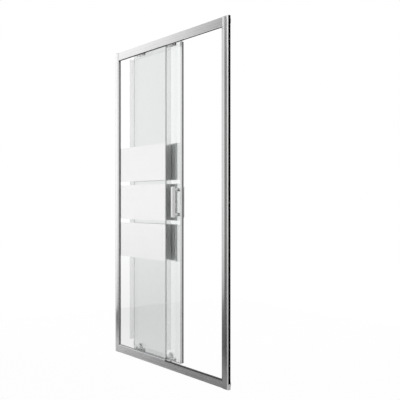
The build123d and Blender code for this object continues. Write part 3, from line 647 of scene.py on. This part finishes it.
# Paint, rubber and plastic
# The mirror bands' backing is near-white, lighter than a real backing, so that the sliding bands reflect it
# lighter: painted light.
PAINTED_LIGHT_BAND_BACKING = Moulded("band_backing_painted_light", (0.93, 0.93, 0.93), (0.90, 0.90, 0.90), 0.42)
BLACK_RUBBER = Moulded("black_rubber", (0.003, 0.003, 0.0032), (0.006, 0.006, 0.0062), 0.8, gloss=0.0)
DARK_GASKET = Moulded("dark_gasket", (0.035, 0.035, 0.037), (0.055, 0.055, 0.058), 0.5, grain=Grain.UP)
GREY_GASKET = Moulded("grey_gasket", (0.30, 0.31, 0.32), (0.38, 0.39, 0.40), 0.45, grain=Grain.ACROSS)
GREY_PLASTIC = Moulded("grey_plastic", (0.36, 0.37, 0.38), (0.42, 0.43, 0.44), 0.42)
PALE_PLASTIC = Moulded("pale_plastic", (0.70, 0.71, 0.71), (0.76, 0.77, 0.77), 0.38)
DARK_PLASTIC = Moulded("dark_plastic", (0.02, 0.02, 0.022), (0.035, 0.035, 0.037), 0.4)
WHITE_NYLON = Moulded("white_nylon", (0.78, 0.78, 0.76), (0.84, 0.84, 0.82), 0.38)
MAGNET = Moulded("magnet_strip", (0.02, 0.02, 0.02), (0.04, 0.04, 0.04), 0.55, grain=Grain.UP)
# The paler front of both seals is painted light; the dark behind the glass is the rubber's own colour.
LEADING_SEAL = RubberWithPaintedLight("leading_seal", (0.70, 0.70, 0.70), (0.03, 0.03, 0.032), 0.0165)
SIDE_GASKET = RubberWithPaintedLight("side_gasket", (0.25, 0.255, 0.255), (0.03, 0.03, 0.032), -0.019)

# Glass and vinyl
CLEAR_GLASS = Clear("clear_glass", (0.995, 1.0, 0.999), (0.70, 0.84, 0.80))
# The sliding pane's tint, darker than the fixed pane's, is painted shade; both panes are the same glass.
SLIDING_GLASS = Clear("sliding_clear_glass", (0.895, 0.915, 0.91), (0.70, 0.84, 0.80))
CLEAR_VINYL = SoftClear("clear_vinyl", (0.86, 0.88, 0.88), (0.95, 0.96, 0.96), 0.22)

NODE_FINISHES = {
    "sliding_glass": SLIDING_GLASS,
    "leading_edge_profile": PAINTED_LIGHT_ALUMINIUM_UP,
    "leading_magnet_seal": LEADING_SEAL,
    "right_wall_channel": PAINTED_LIGHT_ALUMINIUM_UP,
    "left_wall_channel": PAINTED_LIGHT_ALUMINIUM_UP,
    "carriage_covers": PAINTED_LIGHT_CHROME,
    "front_handle": PAINTED_LIGHT_CHROME,
    "rear_handle": PAINTED_LIGHT_CHROME,
    "top_hanger_left": PAINTED_LIGHT_STEEL,
    "top_hanger_right": PAINTED_LIGHT_STEEL,
    "top_clamps": PAINTED_LIGHT_STEEL,
    "bottom_clamps": PAINTED_LIGHT_STEEL,
    "clamp_pads": CLEAR_VINYL,
    "clamp_bolts": BLACK_OXIDE,
    "adjusting_screws": BLACK_OXIDE,
    "side_gaskets": SIDE_GASKET,
    "bottom_carriage_left": PALE_PLASTIC,
    "bottom_carriage_right": PALE_PLASTIC,
    "release_slider_left": PALE_PLASTIC,
    "release_slider_right": PALE_PLASTIC,
}

SLOT_FINISHES = {
    "clear_glass": CLEAR_GLASS,
    "mirror_silver": SILVERING,
    "band_backing": PAINTED_LIGHT_BAND_BACKING,
    "black_rubber": BLACK_RUBBER,
    "dark_gasket": DARK_GASKET,
    "grey_gasket": GREY_GASKET,
    "clear_seal": CLEAR_VINYL,
    "grey_plastic": GREY_PLASTIC,
    "white_nylon": WHITE_NYLON,
    "dark_plastic": DARK_PLASTIC,
    "chrome": CHROME,
    "steel": STEEL,
    "magnet_strip": MAGNET,
}


@dataclass
class PackedParts:
    """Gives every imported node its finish.

    Attributes:
        upright: Words in the names of the profiles that stand upright, whose lines run up.
        made: Materials built so far, by finish name.
    """

    upright: tuple[str, ...] = ("stile", "wall_channel", "strike_profile", "leading_edge_profile")
    made: dict[str, bpy.types.Material] = field(default_factory=dict)

    def material(self, finish: Finish) -> bpy.types.Material:
        """Return a finish's material, built once.

        Args:
            finish: The finish.

        Returns:
            The material.
        """
        if finish.name not in self.made:
            self.made[finish.name] = finish.make()
        return self.made[finish.name]

    def dress(self, obj: bpy.types.Object, finish: Finish) -> None:
        """Give an object one finish all over."""
        obj.data.materials.clear()
        obj.data.materials.append(self.material(finish))

    def finish_for(self, node: str, slot: str) -> Finish:
        """Choose the finish of a node.

        Args:
            node: The node's name.
            slot: Its material slot in the record.

        Returns:
            The finish.
        """
        if node in NODE_FINISHES:
            return NODE_FINISHES[node]
        if slot == "satin_aluminium":
            return SATIN_UP if any(word in node for word in self.upright) else SATIN_ACROSS
        return SLOT_FINISHES[slot]

    def build(self) -> None:
        """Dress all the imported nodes."""
        slots = {part["node"]: part["material_slot"] for part in frame["record"]["subparts"]}
        for node, obj in frame["nodes"].items():
            self.dress(obj, self.finish_for(node, slots[node]))


PARTS = PackedParts()


@dataclass
class Silvering:
    """Mirror coating behind both panes, set a hair clear of the glass so that both faces render.

    Attributes:
        air: Gap between the glass and the coating in millimetres.
    """

    air: float = 0.06

    def layer(self, node: str, piece: str, body: str, finish: Metal) -> None:
        """Build one pane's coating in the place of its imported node.

        Args:
            node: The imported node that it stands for.
            piece: The new piece's name.
            body: The body that it rides on.
            finish: Its finish.
        """
        obj = copied_node(node, piece)
        select_faces(obj, lambda face: face.normal.y < -SQUARE_ON)
        bpy.ops.object.mode_set(mode="EDIT")
        bpy.ops.transform.translate(value=(0.0, self.air * MM, 0.0))
        bpy.ops.object.mode_set(mode="OBJECT")
        PARTS.dress(obj, finish)
        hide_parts(node)
        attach(obj, body)

    def build(self) -> None:
        """Build the coating of both panes."""
        self.layer("fixed_mirror_bands", "fixed_silvering", "frame", SILVERING)
        self.layer("sliding_mirror_bands", "sliding_silvering", "sliding_door", PAINTED_LIGHT_SILVERING)


def finished_piece(name: str, body: str, finish: Finish) -> bpy.types.Object:
    """Close the edit of the active object and make a finished piece of it.

    Args:
        name: The piece's name.
        body: The body that it rides on.
        finish: Its finish.

    Returns:
        The finished object.
    """
    bpy.ops.object.mode_set(mode="OBJECT")
    obj = bpy.context.active_object
    obj.name = name
    obj.data.name = name
    PARTS.dress(obj, finish)
    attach(obj, body)
    LOG.info("%s rides on %s", name, body)
    return obj


def repeated(source: bpy.types.Object, name: str, body: str, shift: Point) -> None:
    """Copy a finished piece to another place, with a mesh of its own.

    Args:
        source: The finished piece.
        name: The copy's name.
        body: The body that the copy rides on.
        shift: How far the copy stands from its source, in millimetres.
    """
    obj = copied(source, name)
    bpy.ops.object.mode_set(mode="EDIT")
    bpy.ops.mesh.select_all(action="SELECT")
    bpy.ops.transform.translate(value=vec(*shift))
    bpy.ops.object.mode_set(mode="OBJECT")
    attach(obj, body)
    LOG.info("%s rides on %s", name, body)


def middle_of(node: str) -> Vector:
    """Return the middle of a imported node, in millimetres.

    Args:
        node: The node.

    Returns:
        Its middle.
    """
    low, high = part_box(node)
    return (Vector(low) + Vector(high)) / 2 / MM


def ring(x: float, z: float, radii: tuple[float, float], depths: tuple[float, float]) -> None:
    """Spin a ring about a depth axis and leave it in edit mode.

    Args:
        x: Place of its axis along the rail, in millimetres.
        z: Height of its axis.
        radii: Inner and outer radius.
        depths: Front and back depth.
    """
    deselect()
    bpy.ops.mesh.primitive_plane_add(size=1.0, location=ORIGIN)
    bpy.ops.object.mode_set(mode="EDIT")
    bpy.ops.mesh.select_mode(type="EDGE")
    bpy.ops.mesh.select_all(action="SELECT")
    section = ((radii[1] - radii[0]) * MM, (depths[1] - depths[0]) * MM, 1.0)
    bpy.ops.transform.resize(value=section, center_override=ORIGIN)
    bpy.ops.transform.translate(value=vec(x + sum(radii) / 2, sum(depths) / 2, z))
    bpy.ops.mesh.delete(type="ONLY_FACE")
    bpy.ops.mesh.select_all(action="SELECT")
    bpy.ops.mesh.spin(steps=RING_STEPS, angle=2 * math.pi, center=vec(x, 0.0, z), axis=(0.0, 1.0, 0.0))
    bpy.ops.mesh.select_all(action="SELECT")
    bpy.ops.mesh.remove_doubles(threshold=MERGE_DISTANCE)
    bpy.ops.mesh.normals_make_consistent(inside=False)


def socket_screw(middle: Point, radius: float, height: float, looks_down: bool) -> None:
    """Make a screw head with a round socket and leave it in edit mode.

    Args:
        middle: Its middle, in millimetres.
        radius: Its radius.
        height: Its height along its axis.
        looks_down: Whether its socket looks down; else it looks to the front.
    """
    deselect()
    bpy.ops.mesh.primitive_cylinder_add(vertices=SCREW_SIDES, radius=radius * MM, depth=height * MM,
                                        location=ORIGIN)
    bpy.ops.object.mode_set(mode="EDIT")
    bpy.ops.mesh.select_all(action="SELECT")
    if not looks_down:
        bpy.ops.transform.rotate(value=math.pi / 2, orient_axis="X", center_override=ORIGIN)
    bpy.ops.transform.translate(value=vec(*middle))
    bpy.ops.object.mode_set(mode="OBJECT")
    axis = 2 if looks_down else 1
    select_faces(bpy.context.active_object, lambda face: face.normal[axis] < -SQUARE_ON)
    bpy.ops.object.mode_set(mode="EDIT")
    bpy.ops.mesh.inset(thickness=radius * SOCKET_RIM * MM)
    inward = [0.0, 0.0, 0.0]
    inward[axis] = height * SOCKET_DEPTH * MM
    bpy.ops.mesh.extrude_region_move(TRANSFORM_OT_translate={"value": inward})


def plate(low: Point, high: Point, rounding: float) -> None:
    """Make a block with rounded edges and leave it in edit mode.

    Args:
        low: Its lowest corner, in millimetres.
        high: Its highest corner.
        rounding: How far its edges are rounded.
    """
    deselect()
    bpy.ops.mesh.primitive_cube_add(size=1.0, location=ORIGIN)
    bpy.ops.object.mode_set(mode="EDIT")
    bpy.ops.mesh.select_all(action="SELECT")
    bpy.ops.transform.resize(value=vec(*high) - vec(*low), center_override=ORIGIN)
    bpy.ops.transform.translate(value=(vec(*high) + vec(*low)) / 2)
    bpy.ops.mesh.bevel(offset=rounding * MM, segments=2, affect="EDGES")


@dataclass
class HandleFittings:
    """Collars where the handle's posts meet the glass, and the grub screws under the posts.

    Attributes:
        middle: Place of the handle along the rail, in millimetres.
        post_heights: Heights of its lower and upper posts.
        post_radius: Radius of a post.
        bush_faces: Depths of the front and rear faces of the bushes in the glass.
        collar_width: How far a collar reaches beyond its post.
        collar_length: Length of a collar.
        collar_gap: Gap between a collar and its bush.
        screw_depths: Depths of the front and rear grub screws.
        screw_radius: Radius of a grub screw.
        screw_height: Height of a grub screw.
        screw_sunk: How much of that height lies in the post.
    """

    middle: float = 64.0
    post_heights: tuple[float, float] = (904.5, 1049.5)
    post_radius: float = 8.0
    bush_faces: tuple[float, float] = (15.0, 23.0)
    collar_width: float = 1.4
    collar_length: float = 1.4
    collar_gap: float = 0.2
    screw_depths: tuple[float, float] = (4.0, 32.0)
    screw_radius: float = 1.9
    screw_height: float = 0.7
    screw_sunk: float = 0.2

    def build(self) -> None:
        """Build the fittings of the lower front post and copy them to the other posts."""
        low, high = self.post_heights
        front_bush, rear_bush = self.bush_faces
        collar_end = front_bush - self.collar_gap
        collar_start = collar_end - self.collar_length
        radii = (self.post_radius + SEAT_GAP, self.post_radius + self.collar_width)
        ring(self.middle, low, radii, (collar_start, collar_end))
        collar = finished_piece("front_collar_low", "sliding_door", CHROME)
        screw_level = low - self.post_radius + self.screw_sunk - self.screw_height / 2
        screw_place = (self.middle, self.screw_depths[0], screw_level)
        socket_screw(screw_place, self.screw_radius, self.screw_height, True)
        screw = finished_piece("front_grub_screw_low", "sliding_door", BLACK_OXIDE)
        collar_back = rear_bush + self.collar_gap - collar_start
        screw_back = self.screw_depths[1] - self.screw_depths[0]
        for side, level in (("front", "high"), ("rear", "low"), ("rear", "high")):
            rise = high - low if level == "high" else 0.0
            collar_shift = (0.0, collar_back if side == "rear" else 0.0, rise)
            screw_shift = (0.0, screw_back if side == "rear" else 0.0, rise)
            repeated(collar, f"{side}_collar_{level}", "sliding_door", collar_shift)
            repeated(screw, f"{side}_grub_screw_{level}", "sliding_door", screw_shift)


@dataclass
class RollerShields:
    """Thin shields sunk in the rear face of every roller.

    Attributes:
        rollers: The rollers' nodes.
        radii: Inner and outer radius of a shield, in millimetres.
        thickness: Thickness of a shield.
        sunk: How far it lies below the roller's face.
    """

    rollers: tuple[str, ...] = (
        "top_roller_left_a", "top_roller_left_b", "top_roller_right_a", "top_roller_right_b",
        "bottom_roller_left", "bottom_roller_right",
    )
    radii: tuple[float, float] = (5.3, 7.6)
    thickness: float = 0.5
    sunk: float = 0.5

    def build(self) -> None:
        """Build the first roller's shield and copy it to the others."""
        first, *others = self.rollers
        start = middle_of(first)
        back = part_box(first)[1][1] / MM - self.sunk
        ring(start.x, start.z, self.radii, (back - self.thickness, back))
        shield = finished_piece(f"{first}_shield", f"{first}_body", STEEL)
        for name in others:
            shift = middle_of(name) - start
            repeated(shield, f"{name}_shield", f"{name}_body", tuple(shift))


@dataclass
class CarriageFittings:
    """Socket-headed adjusters on the housings, and grip ribs on the pull knobs.

    Attributes:
        adjuster_reach: How far an adjuster stands to either side of its housing's middle, in millimetres.
        adjuster_height: Height of the adjusters above the sill.
        adjuster_radius: Radius of an adjuster's head.
        adjuster_thickness: Thickness of its head.
        rib_count: Ribs on one knob.
        rib_pitch: Space between the middles of two ribs.
        rib_width: Width of a rib.
        rib_height: Height of a rib.
        rib_inset: How far a rib's ends stay inside the knob's edges.
        rib_gap: Gap between a rib and the knob's crown.
        rib_rounding: How far a rib's edges are rounded.
        crown_layer: Depth of the layer below the knob's crown that is measured for its edges.
    """

    adjuster_reach: float = 31.0
    adjuster_height: float = 56.0
    adjuster_radius: float = 3.2
    adjuster_thickness: float = 1.0
    rib_count: int = 3
    rib_pitch: float = 3.0
    rib_width: float = 1.0
    rib_height: float = 0.58
    rib_inset: float = 1.0
    rib_gap: float = 0.02
    rib_rounding: float = 0.2
    crown_layer: float = 0.5

    def adjusters(self, left: float, right: float) -> None:
        """Build the four adjusters.

        Args:
            left: Middle of the left housing, in millimetres.
            right: Middle of the right housing.
        """
        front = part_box("bottom_carriage_left")[0][1] / MM
        middle = front - SEAT_GAP - self.adjuster_thickness / 2
        place = (left - self.adjuster_reach, middle, self.adjuster_height)
        socket_screw(place, self.adjuster_radius, self.adjuster_thickness, False)
        adjuster = finished_piece("carriage_adjuster_left_a", "sliding_door", BLACK_OXIDE)
        across = self.adjuster_reach * 2
        apart = right - left
        for name, shift in (("left_b", across), ("right_a", apart), ("right_b", apart + across)):
            repeated(adjuster, f"carriage_adjuster_{name}", "sliding_door", (shift, 0.0, 0.0))

    def ribs(self, left: float, right: float) -> None:
        """Build the ribs on both knobs.

        Args:
            left: Middle of the left housing, in millimetres.
            right: Middle of the right housing.
        """
        knob = frame["nodes"]["release_slider_left"].data
        crown = max(corner.co.z for corner in knob.vertices) / MM
        deep = [corner.co.y / MM for corner in knob.vertices if corner.co.z / MM > crown - self.crown_layer]
        start = left - self.rib_pitch * (self.rib_count - 1) / 2 - self.rib_width / 2
        base = crown + self.rib_gap
        low = (start, min(deep) + self.rib_inset, base)
        high = (start + self.rib_width, max(deep) - self.rib_inset, base + self.rib_height)
        plate(low, high, self.rib_rounding)
        rib = finished_piece("knob_rib_left_0", "release_left", DARK_PLASTIC)
        for side, middle in (("left", left), ("right", right)):
            for index in range(self.rib_count):
                if (side, index) != ("left", 0):
                    shift = (middle - left + index * self.rib_pitch, 0.0, 0.0)
                    repeated(rib, f"knob_rib_{side}_{index}", f"release_{side}", shift)

    def build(self) -> None:
        """Build the adjusters and the ribs."""
        left = middle_of("bottom_carriage_left").x
        right = middle_of("bottom_carriage_right").x
        self.adjusters(left, right)
        self.ribs(left, right)


@dataclass
class CoilSprings:
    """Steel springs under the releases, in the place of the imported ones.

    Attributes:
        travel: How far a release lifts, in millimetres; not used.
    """

    travel: float = 8.0

    def build(self) -> None:
        """Build both springs."""
        for side in ("left", "right"):
            node = f"release_spring_{side}"
            obj = copied_node(node, f"coil_spring_{side}")
            PARTS.dress(obj, STEEL)
            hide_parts(node)
            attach(obj, "sliding_door")
            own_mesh(obj)
            LOG.info("%s shortens under the release", obj.name)


@dataclass
class DrainGrilles:
    """Slotted drain grilles that lie on the rail's floor.

    Attributes:
        middles: Places of their middles along the rail, in millimetres.
        depth: Depth of their middle line.
        level: Height of their underside.
        length: Length of a grille.
        width: Width of a grille.
        thickness: Thickness of a grille.
        cells: Cells of its grid along and across; every other cell of the middle row is a slot.
    """

    middles: tuple[float, ...] = (-420.0, 0.0, 420.0)
    depth: float = 14.0
    level: float = 2.55
    length: float = 36.0
    width: float = 8.0
    thickness: float = 0.8
    cells: tuple[int, int] = (9, 3)

    def is_slot(self, face: bpy.types.MeshPolygon) -> bool:
        """Tell whether a cell of the first grille's grid is one of its slots.

        Args:
            face: The cell.

        Returns:
            Whether it is a slot.
        """
        columns, lines = self.cells
        column = round((face.center.x / MM - self.middles[0]) / (self.length / columns))
        in_middle_row = abs(face.center.y / MM - self.depth) < self.width / lines / 2
        return in_middle_row and column % 2 == 0 and abs(column) < columns // 2

    def build(self) -> None:
        """Build the first grille and copy it along the rail."""
        deselect()
        bpy.ops.mesh.primitive_grid_add(x_subdivisions=self.cells[0], y_subdivisions=self.cells[1], size=1.0,
                                        location=ORIGIN)
        bpy.ops.object.mode_set(mode="EDIT")
        bpy.ops.mesh.select_all(action="SELECT")
        bpy.ops.transform.resize(value=(self.length * MM, self.width * MM, 1.0), center_override=ORIGIN)
        bpy.ops.transform.translate(value=vec(self.middles[0], self.depth, self.level))
        bpy.ops.object.mode_set(mode="OBJECT")
        select_faces(bpy.context.active_object, self.is_slot)
        bpy.ops.object.mode_set(mode="EDIT")
        bpy.ops.mesh.delete(type="FACE")
        bpy.ops.mesh.select_all(action="SELECT")
        bpy.ops.mesh.extrude_region_move(TRANSFORM_OT_translate={"value": (0.0, 0.0, self.thickness * MM)})
        bpy.ops.mesh.select_all(action="SELECT")
        bpy.ops.mesh.normals_make_consistent(inside=False)
        grille = finished_piece("drain_grille_0", "frame", GREY_PLASTIC)
        for index, middle in enumerate(self.middles[1:], start=1):
            shift = (middle - self.middles[0], 0.0, 0.0)
            repeated(grille, f"drain_grille_{index}", "frame", shift)


@dataclass
class Studio:
    """Camera, world, lamp and floor.

    Attributes:
        camera_place: Camera position in millimetres.
        heading: Camera heading in degrees, 0 along +Y and 90 along -X.
        lens: Focal length in millimetres on a sensor of SENSOR_WIDTH.
        horizon_row: Picture row of the horizon, in a picture of IMAGE_SIZE rows.
        sight: How far the camera sees, in metres.
        sky_ring: Levels above the horizon by compass angle in degrees.
        ground_ring: Levels below the horizon by compass angle in degrees.
        sky_shares: Share of the upper levels by angle above the horizon in degrees.
        backdrop: Levels that light coming through glass has, by angle above the horizon.
        lamp_place: Place of the lamp in millimetres.
        lamp_aim: The point that it faces.
        lamp_side: Its side in metres.
        lamp_power: Its power in watts.
        floor_reach: Half the floor's side in metres.
        floor_drop: How far the floor lies below the sill, in millimetres.
        shade_slopes: How fast the floor's painted shade changes per metre along the rail and in depth.
        floor_shades: The floor's painted shades along that slope, darker to the right and towards the viewer.
        fall_slope: How fast the floor's painted fall-off changes per metre of depth. floor_fall: The floor's
            levels along that slope, from the viewer's side to the rear, darker on the viewer's side as
            painted shade.
        floor_fall: The floor's levels along that slope, from the viewer's side to the rear.
    """

    camera_place: Point = (3462.4, -2282.8, 979.4)
    heading: float = 54.07
    lens: float = 63.14
    horizon_row: float = 201.75
    sight: float = 100.0
    sky_ring: Stops = (
        (0.0, 0.3), (30.0, 0.28), (50.0, 0.5), (90.0, 0.9), (108.0, 1.0), (200.0, 1.13), (209.5, 1.13),
        (212.0, 1.02), (214.0, 0.94), (216.0, 0.66), (218.0, 0.34), (220.0, 0.16), (226.0, 0.13),
        (245.0, 0.2), (290.0, 0.5), (315.0, 0.95), (345.0, 0.95), (360.0, 0.3),
    )
    ground_ring: Stops = (
        (0.0, 0.3), (60.0, 0.7), (108.0, 1.0), (165.0, 1.0), (190.0, 0.7), (210.0, 0.5), (214.0, 0.16),
        (217.0, 0.0), (232.0, 0.0), (270.0, 0.2), (320.0, 0.6), (345.0, 0.6), (360.0, 0.3),
    )
    sky_shares: Stops = (
        (-90.0, 0.0), (-12.0, 0.0), (-9.5, 0.1), (-7.0, 0.5), (-4.0, 0.82), (0.0, 0.95), (5.0, 1.0),
        (12.0, 0.93), (90.0, 0.8),
    )
    backdrop: Stops = ((-90.0, 0.84), (-12.0, 0.86), (-6.0, 0.93), (-1.0, 1.02), (90.0, 1.02))
    lamp_place: Point = (-1500.0, -3300.0, 3800.0)
    lamp_aim: Point = (0.0, 0.0, 900.0)
    lamp_side: float = 1.6
    lamp_power: float = 60.0
    floor_reach: float = 2.2
    floor_drop: float = 0.5
    shade_slopes: tuple[float, float] = (0.5, -0.3)
    floor_shades: Stops = ((0.1, 0.6), (0.35, 0.5), (0.6, 0.3), (0.85, 0.26))
    fall_slope: float = 0.25
    floor_fall: Stops = ((0.0, 0.2), (0.34, 0.3), (0.42, 0.75), (0.46, 1.0))

    def camera(self) -> None:
        """Stand the camera where the photograph was taken."""
        data = bpy.data.cameras.new("camera")
        data.lens = self.lens
        data.sensor_width = SENSOR_WIDTH
        data.shift_y = (self.horizon_row - IMAGE_SIZE / 2) / IMAGE_SIZE
        data.clip_end = self.sight
        obj = bpy.data.objects.new("camera", data)
        bpy.context.scene.collection.objects.link(obj)
        obj.location = vec(*self.camera_place)
        obj.rotation_euler = (math.pi / 2, 0.0, math.radians(self.heading))
        bpy.context.scene.camera = obj

    def surround(self, shader: Shader, parts: bpy.types.Node) -> bpy.types.NodeSocket:
        """Level of the studio that gloss shows, by direction.

        Args:
            shader: The world's shader.
            parts: The node that gives the direction's parts.

        Returns:
            The level's socket.
        """
        turn = shader.math("DIVIDE", shader.math("ARCTAN2", parts.outputs[1], parts.outputs[0]), 2 * math.pi)
        turn = shader.math("FRACT", shader.math("ADD", turn, 1.0))
        sky = shader.ramp(turn, [(angle / 360.0, level) for angle, level in self.sky_ring])
        ground = shader.ramp(turn, [(angle / 360.0, level) for angle, level in self.ground_ring])
        return shader.choose(self.by_height(shader, parts, self.sky_shares), ground, sky)

    def by_height(self, shader: Shader, parts: bpy.types.Node, levels: Stops) -> bpy.types.NodeSocket:
        """Look up a level by the angle above the horizon.

        Args:
            shader: The world's shader.
            parts: The node that gives the direction's parts.
            levels: Angles in degrees and their levels.

        Returns:
            The level's socket.
        """
        rise = shader.math("MULTIPLY_ADD", parts.outputs[2], 0.5, 0.5)
        stops = [((math.sin(math.radians(angle)) + 1) / 2, level) for angle, level in levels]
        return shader.ramp(rise, stops)

    def world(self) -> None:
        """White behind the object, a soft studio round it."""
        world = bpy.data.worlds.new("studio")
        bpy.context.scene.world = world
        world.use_nodes = True
        shader = Shader(world.node_tree)
        path = shader.add("LightPath")
        coordinates = shader.add("TexCoord")
        parts = shader.add("SeparateXYZ")
        shader.join(coordinates.outputs["Generated"], parts.inputs[0])
        level = shader.choose(path.outputs["Is Glossy Ray"], FILL_LEVEL, self.surround(shader, parts))
        behind = self.by_height(shader, parts, self.backdrop)
        behind = shader.math("MULTIPLY", behind, self.pane_share(shader, path))
        level = shader.choose(path.outputs["Is Transmission Ray"], level, behind)
        level = shader.choose(path.outputs["Is Camera Ray"], level, 1.0)
        light = shader.add("Background")
        light.inputs["Color"].default_value = (1.0, 1.0, 1.0, 1.0)
        shader.join(level, light.inputs["Strength"])
        output = shader.add("OutputWorld")
        shader.join(light.outputs[0], output.inputs["Surface"])

    def pane_share(self, shader: Shader, path: bpy.types.Node) -> bpy.types.NodeSocket:
        """Level kept by light that comes through more than one pane.

        Args:
            shader: The world's or the floor's shader.
            path: Its light path node.

        Returns:
            The share's socket.
        """
        second = shader.math("GREATER_THAN", path.outputs["Transmission Depth"], ONE_PANE_FACES)
        straight = shader.math("LESS_THAN", path.outputs["Glossy Depth"], NO_BOUNCE)
        second = shader.math("MULTIPLY", second, straight)
        return shader.choose(second, 1.0, SECOND_PANE_LEVEL)

    def lamp(self) -> None:
        """Hang one soft lamp in front, high up on the left."""
        data = bpy.data.lights.new("left_key", "AREA")
        data.shape = "SQUARE"
        data.size = self.lamp_side
        data.energy = self.lamp_power
        obj = bpy.data.objects.new("left_key", data)
        bpy.context.scene.collection.objects.link(obj)
        place, aim = vec(*self.lamp_place), vec(*self.lamp_aim)
        obj.location = place
        obj.rotation_euler = (aim - place).to_track_quat("-Z", "Y").to_euler()

    def floor_shade(self, shader: Shader) -> bpy.types.NodeSocket:
        """Painted shade on the floor, darker to the right and towards the viewer, which only gloss and light
        see.

        Args:
            shader: The floor's shader.

        Returns:
            The shade's socket.
        """
        coordinates = shader.add("TexCoord")
        parts = shader.add("SeparateXYZ")
        shader.join(coordinates.outputs["Object"], parts.inputs[0])
        along, deep = self.shade_slopes
        slant = shader.math("MULTIPLY_ADD", parts.outputs[1], deep, 0.5)
        shade = shader.ramp(shader.math("MULTIPLY_ADD", parts.outputs[0], along, slant), self.floor_shades)
        fall = shader.math("MULTIPLY_ADD", parts.outputs[1], self.fall_slope, 0.5)
        return shader.math("MULTIPLY", shade, shader.ramp(fall, self.floor_fall))

    def floor(self) -> None:
        """Lay the pale floor, white to the camera except for the object's shadow."""
        bpy.ops.mesh.primitive_plane_add(size=self.floor_reach * 2, location=vec(0.0, 0.0, -self.floor_drop))
        obj = bpy.context.active_object
        obj.name = "floor"
        material = bpy.data.materials.new("floor_paint_with_painted_shade")
        material.use_nodes = True
        shader = Shader(material.node_tree)
        path = shader.add("LightPath")
        paint = shader.add("BsdfDiffuse")
        shader.join(self.floor_shade(shader), paint.inputs["Color"])
        glow = shader.add("Emission")
        behind = shader.math("MULTIPLY", self.pane_share(shader, path), FLOOR_THROUGH_GLASS)
        level = shader.choose(path.outputs["Is Transmission Ray"], 1.0, behind)
        shader.join(level, glow.inputs["Strength"])
        seen = shader.math("MAXIMUM", path.outputs["Is Camera Ray"], path.outputs["Is Transmission Ray"])
        mix = shader.add("MixShader")
        shader.join(shader.math("MULTIPLY", seen, FLOOR_GLOW), mix.inputs[0])
        shader.join(paint.outputs[0], mix.inputs[1])
        shader.join(glow.outputs[0], mix.inputs[2])
        output = shader.add("OutputMaterial")
        shader.join(mix.outputs[0], output.inputs["Surface"])
        obj.data.materials.append(material)

    def build(self) -> None:
        """Set the stage and the colour treatment."""
        bpy.context.scene.view_settings.view_transform = "Standard"
        self.camera()
        self.world()
        self.floor()
        self.lamp()


def main() -> None:
    """Build the studio and the door in order."""
    logging.basicConfig(level=logging.INFO, format="%(name)s: %(message)s")
    fittings = (HandleFittings(), RollerShields(), CarriageFittings(), CoilSprings(), DrainGrilles())
    for assembly in (Studio(), PARTS, Silvering(), *fittings):
        assembly.build()
        LOG.info("%s is built", type(assembly).__name__)


if __name__ == "__main__":
    main()
